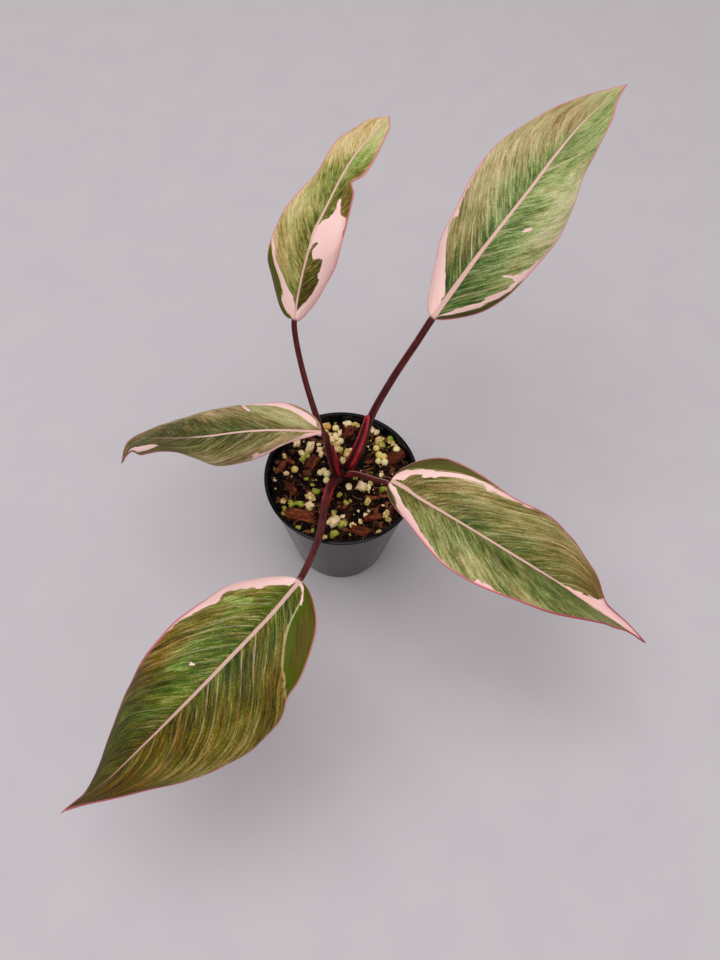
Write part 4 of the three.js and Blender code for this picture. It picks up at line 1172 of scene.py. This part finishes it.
# Grains of perlite, as (x, y, radius), by the tone that algae and stain give them.
PERLITE = {
    0.95: [
        (0.5, 34.5, 1.8), (-2.5, 27, 1.6), (-4.5, 24.5, 2), (-6, 23, 1.6), (3.5, 17.5, 1),
        (1, 7, 0.9), (15.5, 33.5, 1.5), (18, 32, 1.5), (29.5, 19, 1.4), (23.5, 12.5, 1.3),
        (19.5, 3, 1.1), (-24, 20, 2.1), (-13, 19.5, 1.1), (-12, 16, 1.7), (-11, 13.5, 1.6),
        (-17, 18, 2.5), (-21, 13.5, 1.6), (-27.5, 1.5, 1.3), (-9, 4, 1.5), (10, -4.5, 2.4),
        (13.5, -5, 1.6), (4, -4.5, 1.5), (-2.5, -24.5, 2.9), (2, -21.5, 1.1), (13, -19.5, 1),
        (-14.5, -16, 1.8),
    ],
    0.5: [
        (4.5, 36, 1.3), (6.5, 36, 1.5), (-10, 32, 2.3), (-7.5, 26.5, 1.3), (-7.5, 20.5, 1.6),
        (-4, 19.5, 2), (-2.5, 16.5, 2), (2, 14.5, 2), (0, 10.5, 2), (18, 24, 2.2), (26, 27, 1.5),
        (27, 24.5, 1.5), (26.5, 22, 1.1), (-29.5, 11.5, 1.4), (-17.5, 15, 1.8), (-27.5, -14.5, 1.4),
        (14.5, -2, 1.3), (13.5, -12.5, 1.8), (7, -25.5, 1.4), (10.5, -23, 1.2), (19.5, -28, 1.2),
        (23, -19, 2), (24, -21, 1.4), (-6, -32.5, 1.5), (-14.5, -11.5, 2.2),
    ],
    0.08: [
        (19.5, 21.5, 1.8), (-18, 12.5, 1.5), (-20, 10.5, 1.6), (-17.5, -1.5, 1), (-14, -4.5, 1),
        (-12, -8.5, 1.7), (-14, -18.5, 1.1), (-19.5, -15.5, 1.9), (-23.5, -16, 1.7),
        (-26.5, -18.5, 1.4), (-27, -21.5, 1.6), (-19, -28, 1.2), (11.5, -6.5, 1), (21, -4.5, 1.6),
        (3, -13.5, 1.3), (-0.5, -9.5, 1.2), (-2.5, -20, 1.4), (2, -25, 2), (-1.5, -30.5, 1.9),
        (-12, -29.5, 1),
    ],
}

# What is laid at random: how many at most, and how far out from the middle of the pot.
SCATTER = dict(chips=(22, 34), perlite=(90, 34.5), crumbs=(1300, 35.4), coir=(190, 34.5))
CROWN_CLEAR, WALL_OVERLAP = 3.4, 1.2
BED_RINGS, BED_SIDES = 64, 220
BED_SUNK = 0.6  # how far the bed lies under the top of the mix in the CAD source


def soil_height(x, y):
    share = np.minimum(1, np.hypot(x, y) / wall_radius(SOIL["level"]))
    rolling = np.sin(0.31 * x + 1) * np.cos(0.27 * y - 0.4) + 0.6 * np.sin(0.53 * y + 0.38 * x)
    mound = SOIL["mound"] * (1 - share**2)
    return SOIL["level"] + mound + SOIL["roughness"] * rolling * (1 - share**4)


def on_soil(x, y, above):
    return x, y, soil_height(x, y) + above


def soil_reach(z):
    return wall_radius(z) - POT["wall"] - GAP


def soil_bed(material):
    level, foot = SOIL["level"], POT["floor"] + GAP
    ends = [
        (soil_reach(foot + 1) - 1, foot), (soil_reach(foot + 1), foot + 1),
        (soil_reach(level) - 0.05, level - BED_SUNK),
    ]
    layers = [circle(radius, z, BED_SIDES) for radius, z in ends]
    for i in range(BED_RINGS, 0, -1):
        ring = circle(soil_reach(level) * i / BED_RINGS, 0, BED_SIDES)
        crumble = 0.7 * rough(ring / 2.2, 3) * ramp(BED_RINGS - i, 0, 3)
        ring[:, 2] = soil_height(ring[:, 0], ring[:, 1]) + crumble - BED_SUNK
        layers.append(ring)
    points, faces = closed_loft(np.stack(layers))
    fields = dict(grain=points, tone=0.5 + 0.35 * rough(points / 5, 2))
    add_piece("mix_bed", points, faces, [material], ["soil"], fields)


def ball(level):
    made = bmesh.new()
    bmesh.ops.create_icosphere(made, subdivisions=level, radius=1)
    points = np.array([v.co[:] for v in made.verts])
    faces = np.array([[v.index for v in f.verts] for f in made.faces])
    made.free()
    return points, faces


BALLS = {level: ball(level) for level in (2, 3, 4)}


def clod(random, level, radii, ragged, detail, place, spin=None, tip=0.4, boxy=0.0):
    """A rough grain: a ball stretched to radii, with relief, leaned by up to tip and turned by spin,
    at random if none is given. boxy, from 0 to 1, turns the ball towards a block."""
    if spin is None:
        spin = 6.3 * random.random()
    unit_points, faces = BALLS[level]
    blocky = unit_points / np.max(np.abs(unit_points), axis=1, keepdims=True) ** boxy
    shift = random.random(3) * 20
    scale = 1 + ragged * rough(unit_points * detail + shift, 2)
    points = blocky * scale[:, None] * np.array(radii)
    lean = Matrix.Rotation((random.random() - 0.5) * 2 * tip, 3, "X")
    for turn in (lean, Matrix.Rotation(spin, 3, "Z")):
        points = points @ np.array(turn).T
    points = points + place
    # Whatever meets the pot's wall is flat against it.
    far = np.hypot(points[:, 0], points[:, 1])
    points[:, :2] *= np.minimum(1, (soil_reach(points[:, 2]) - 0.15) / far)[:, None]
    return points, faces, unit_points * np.array(radii) + shift * 3


def kept_in(x, y, radius):
    """The place, moved in from the pot's wall if a grain of this radius would cross it."""
    far, limit = math.hypot(x, y), soil_reach(SOIL["level"]) - 0.9 * radius
    return (x, y) if far < limit else (x * limit / far, y * limit / far)


def fibre(random, x, y, length):
    """A thread of coir that lies on the mix."""
    steps, sides = 10, 5
    turn, curl = 2 * np.pi * random.random(), (random.random() - 0.5) * 0.5
    angles = turn + curl * np.arange(steps + 1)
    stride = length / steps * np.stack([np.cos(angles), np.sin(angles)], -1)
    track = np.array([x, y]) + np.cumsum(stride, axis=0) - np.sum(stride, axis=0) / 2
    lift = 0.2 + 0.9 * random.random() * np.sin(np.pi * np.arange(steps + 1) / steps)
    centre = np.column_stack([track, soil_height(track[:, 0], track[:, 1]) + lift])
    side = np.column_stack([-np.sin(angles), np.cos(angles), 0 * angles])
    taper = np.sin(np.pi * (np.arange(steps + 1) + 0.6) / (steps + 1.2)) ** 0.4
    radius = (0.12 + 0.12 * random.random()) * taper
    ring = circle(1, 0, sides)
    rings = centre[:, None] + radius[:, None, None] * (
        ring[:, :1] * side[:, None] + ring[:, 1:2] * np.array([0, 0, 1]))
    points, faces = closed_loft(rings)
    return points, faces, points


def heap(name, grains, *look, **more):
    """One piece of many grains, each its points, faces, places in the noise and tone."""
    *bodies, marks, tones = zip(*grains)
    points, faces = stacked(zip(*bodies))
    tone = np.concatenate([np.full(len(mark), tone) for mark, tone in zip(marks, tones)])
    fields = dict(grain=np.concatenate(marks), tone=tone)
    add_piece(name, points, faces, [grain_material(*look, **more)], ["soil"], fields)


def clear_places(random, kind, taken, radius_of):
    """Places in the pot that keep off the crown and off what lies there already."""
    wanted, reach = SCATTER[kind]
    laid = []
    for _ in range(wanted * 30):
        if len(laid) == wanted:
            break
        angle, distance = 2 * np.pi * random.random(), reach * math.sqrt(random.random())
        x, y, radius = distance * math.cos(angle), distance * math.sin(angle), radius_of()
        near = any(math.hypot(x - a, y - b) < radius + c for a, b, c in taken)
        if not near and CROWN_CLEAR + radius < math.hypot(x, y) < reach - radius + WALL_OVERLAP:
            laid.append((x, y, radius))
    return laid


def bark(random):
    chips, taken = [], []
    listed = [(x, y, 0.4 * length) for x, y, length, *_ in BARK]
    small = [
        [x, y, 3 + 4 * random.random(), 1.4 + random.random(), 1.4, 360 * random.random()]
        for x, y, _ in clear_places(random, "chips", listed, lambda: 1.8)
    ]
    for x, y, length, width, height, turn in [*BARK, *small]:
        x, y = kept_in(x, y, 0.4 * length)
        radii, place = (length / 2, 0.55 * width, height / 2), on_soil(x, y, 0.1 * height)
        chip = clod(random, 4, radii, 0.17, (1.2, 4.5, 2.2), place, math.radians(turn), 0.4, 0.55)
        chips.append((*chip, 0.3 + 0.7 * random.random()))
        taken.append((x, y, 0.35 * length))
    heap(
        "mix_chips", chips, "mix_bark", (28, 10, 7), (84, 35, 22), (150, 78, 46), (0.7, 0.9), 1.0,
        stretch=(0.25, 1.6, 1.6), depth=0.0004, by_grain=0.5, mottle=1.8,
    )
    return taken


def feed(random):
    prills, taken = [], []
    for x, y in PRILLS:
        radius = 1.6 + 0.35 * random.random()
        x, y = kept_in(x, y, radius)
        prill = clod(random, 4, (radius,) * 3, 0.03, 1.2, on_soil(x, y, 0.55 * radius))
        prills.append((*prill, 0.2 + 0.8 * random.random()))
        taken.append((x, y, radius))
    heap(
        "mix_feed", prills, "mix_prills", (214, 156, 64), (238, 212, 118), (250, 238, 176),
        (0.3, 0.45), 0.4, depth=0.00004, gloss=0.3,
    )
    green = clod(random, 4, (1.9,) * 3, 0.05, 1.2, on_soil(*GREEN_PRILL, 1), 0)
    heap(
        "mix_green_feed", [(*green, 0.5)], "mix_algae", (70, 96, 10), (124, 152, 30), (190, 204, 90),
        (0.4, 0.6), 0.7, gloss=0.3,
    )
    return taken


def perlite(random, taken):
    lumps = []
    fixed = [(x, y, radius, tone) for tone, spots in PERLITE.items() for x, y, radius in spots]
    loose = clear_places(random, "perlite", taken, lambda: 0.35 + 0.45 * random.random() ** 2)
    for x, y, radius, tone in [*fixed, *[(*spot, random.random()) for spot in loose]]:
        x, y = kept_in(x, y, radius)
        radii = radius * np.array([1.12, 0.65 + 0.3 * random.random(), 0.6 + 0.25 * random.random()])
        lump = clod(random, 3, radii, 0.36, 1.7, on_soil(x, y, 0.35 * radius), boxy=0.5)
        lumps.append((*lump, tone + 0.15 * (random.random() - 0.5)))
    heap(
        "mix_perlite", lumps, "mix_perlite", (136, 158, 44), (214, 172, 104), (255, 228, 184), (0.75, 0.9),
        0.9, depth=0.0003, by_grain=0.8, mottle=3.2,
    )


def crumbs_and_coir(random):
    crumbs = []
    for x, y, radius in clear_places(random, "crumbs", [], lambda: 0.3 + 1.2 * random.random() ** 2):
        radii = (radius * (1 + random.random()), radius, radius * 0.8)
        crumb = clod(random, 2, radii, 0.4, 1.5, on_soil(x, y, -0.15 * radius), tip=0.8, boxy=0.3)
        crumbs.append((*crumb, 0.9 * random.random() ** 1.8))
    heap(
        "mix_crumbs", crumbs, "mix_crumb", (10, 6, 5), (42, 22, 17), (128, 76, 50), (0.8, 0.95), 1.4,
        stretch=(0.5, 1.3, 1.3), depth=0.0003, mottle=1.4,
    )
    threads = [
        (*fibre(random, x, y, 3 + 6 * random.random()), random.random())
        for x, y, _ in clear_places(random, "coir", [], lambda: 2.0)
    ]
    heap(
        "mix_coir", threads, "mix_thread", (40, 20, 14), (96, 54, 34), (164, 112, 70), (0.7, 0.9), 1.0,
        depth=0.00003,
    )


def mix():
    random = np.random.default_rng(12)
    peat = (8, 4, 4), (24, 13, 10), (66, 38, 28)
    soil_bed(grain_material("mix_peat", *peat, (0.85, 0.95), 1.1, depth=0.0004, mottle=1.6))
    taken = bark(random) + feed(random)
    perlite(random, taken)
    crumbs_and_coir(random)


# ---- the part ----

leaf_skins = [leaf_material("leaf_upper", True), leaf_material("leaf_under", False)]
stalk_skin = stalk_material()
for number in LEAVES:
    blade(number, leaf_skins)
    stalk(number, stalk_skin)
bud(stalk_skin)
crown(stalk_skin)
spur(stalk_skin)
nursery_pot(pot_material())
mix()

# ---- floor, light and camera ----

FLOOR_HALF, FLOOR_SUNK = 6000, 0.2
LIGHTS_AIM = (0, 0, 0.08)  # in metres, as are the lights' own places and sizes


def stage_floor():
    half = FLOOR_HALF
    corners = [(x, y, -FLOOR_SUNK) for x, y in ((-half, -half), (half, -half), (half, half), (-half, half))]
    mesh = mesh_of("floor", corners, [(0, 1, 2, 3)])
    s = Shader("floor_paper")
    place = s.node("TexCoord", {}).outputs["Object"]
    tone = s.mix(s.noise(place, scale=30, detail=4), srgb(196, 190, 197), srgb(204, 199, 205))
    mesh.materials.append(s.finish(Base_Color=tone, Roughness=0.9, Specular_IOR_Level=0.2))
    placed("floor", mesh)


def soft_light(name, place, size, power, colour):
    data = bpy.data.lights.new(name, "AREA")
    data.shape = "DISK"
    data.size, data.energy, data.color = size, power, colour
    light = placed(name, data)
    light.location = place
    light.rotation_euler = (Vector(LIGHTS_AIM) - Vector(place)).to_track_quat("-Z", "Y").to_euler()


stage_floor()
soft_light("key", (-0.3, -0.1, 1.7), 1.8, 19, (1, 0.99, 0.97))
soft_light("fill", (0.9, -0.9, 1.0), 1.1, 2.5, (1, 0.98, 0.96))

world = bpy.data.worlds.new("studio")
world.use_nodes = True
world.node_tree.nodes["Background"].inputs["Color"].default_value = (1, 0.975, 0.95, 1)
world.node_tree.nodes["Background"].inputs["Strength"].default_value = 0.42
bpy.context.scene.world = world
bpy.context.scene.view_settings.view_transform = "Standard"

PITCH, ROLL = math.radians(59.2585), math.radians(3.2327)
CAMERA_AT = (9.23, -199.23, 398.84)
FOCAL_PIXELS, LONG_SIDE, SENSOR = 784.65, 960, 36.0

level = Vector((1, 0, 0))
ahead = Vector((0, math.cos(PITCH), -math.sin(PITCH)))
above = Vector((0, math.sin(PITCH), math.cos(PITCH)))
camera_x = math.cos(ROLL) * level + math.sin(ROLL) * above
camera_y = math.cos(ROLL) * above - math.sin(ROLL) * level
camera_data = bpy.data.cameras.new("camera")
camera_data.sensor_width = SENSOR
camera_data.lens = SENSOR * FOCAL_PIXELS / LONG_SIDE
camera_data.clip_start = 0.01
camera = placed("camera", camera_data)
camera.matrix_world = (
    Matrix.Translation(Vector(CAMERA_AT) * MM)
    @ Matrix((camera_x, camera_y, -ahead)).transposed().to_4x4()
)
bpy.context.scene.camera = camera
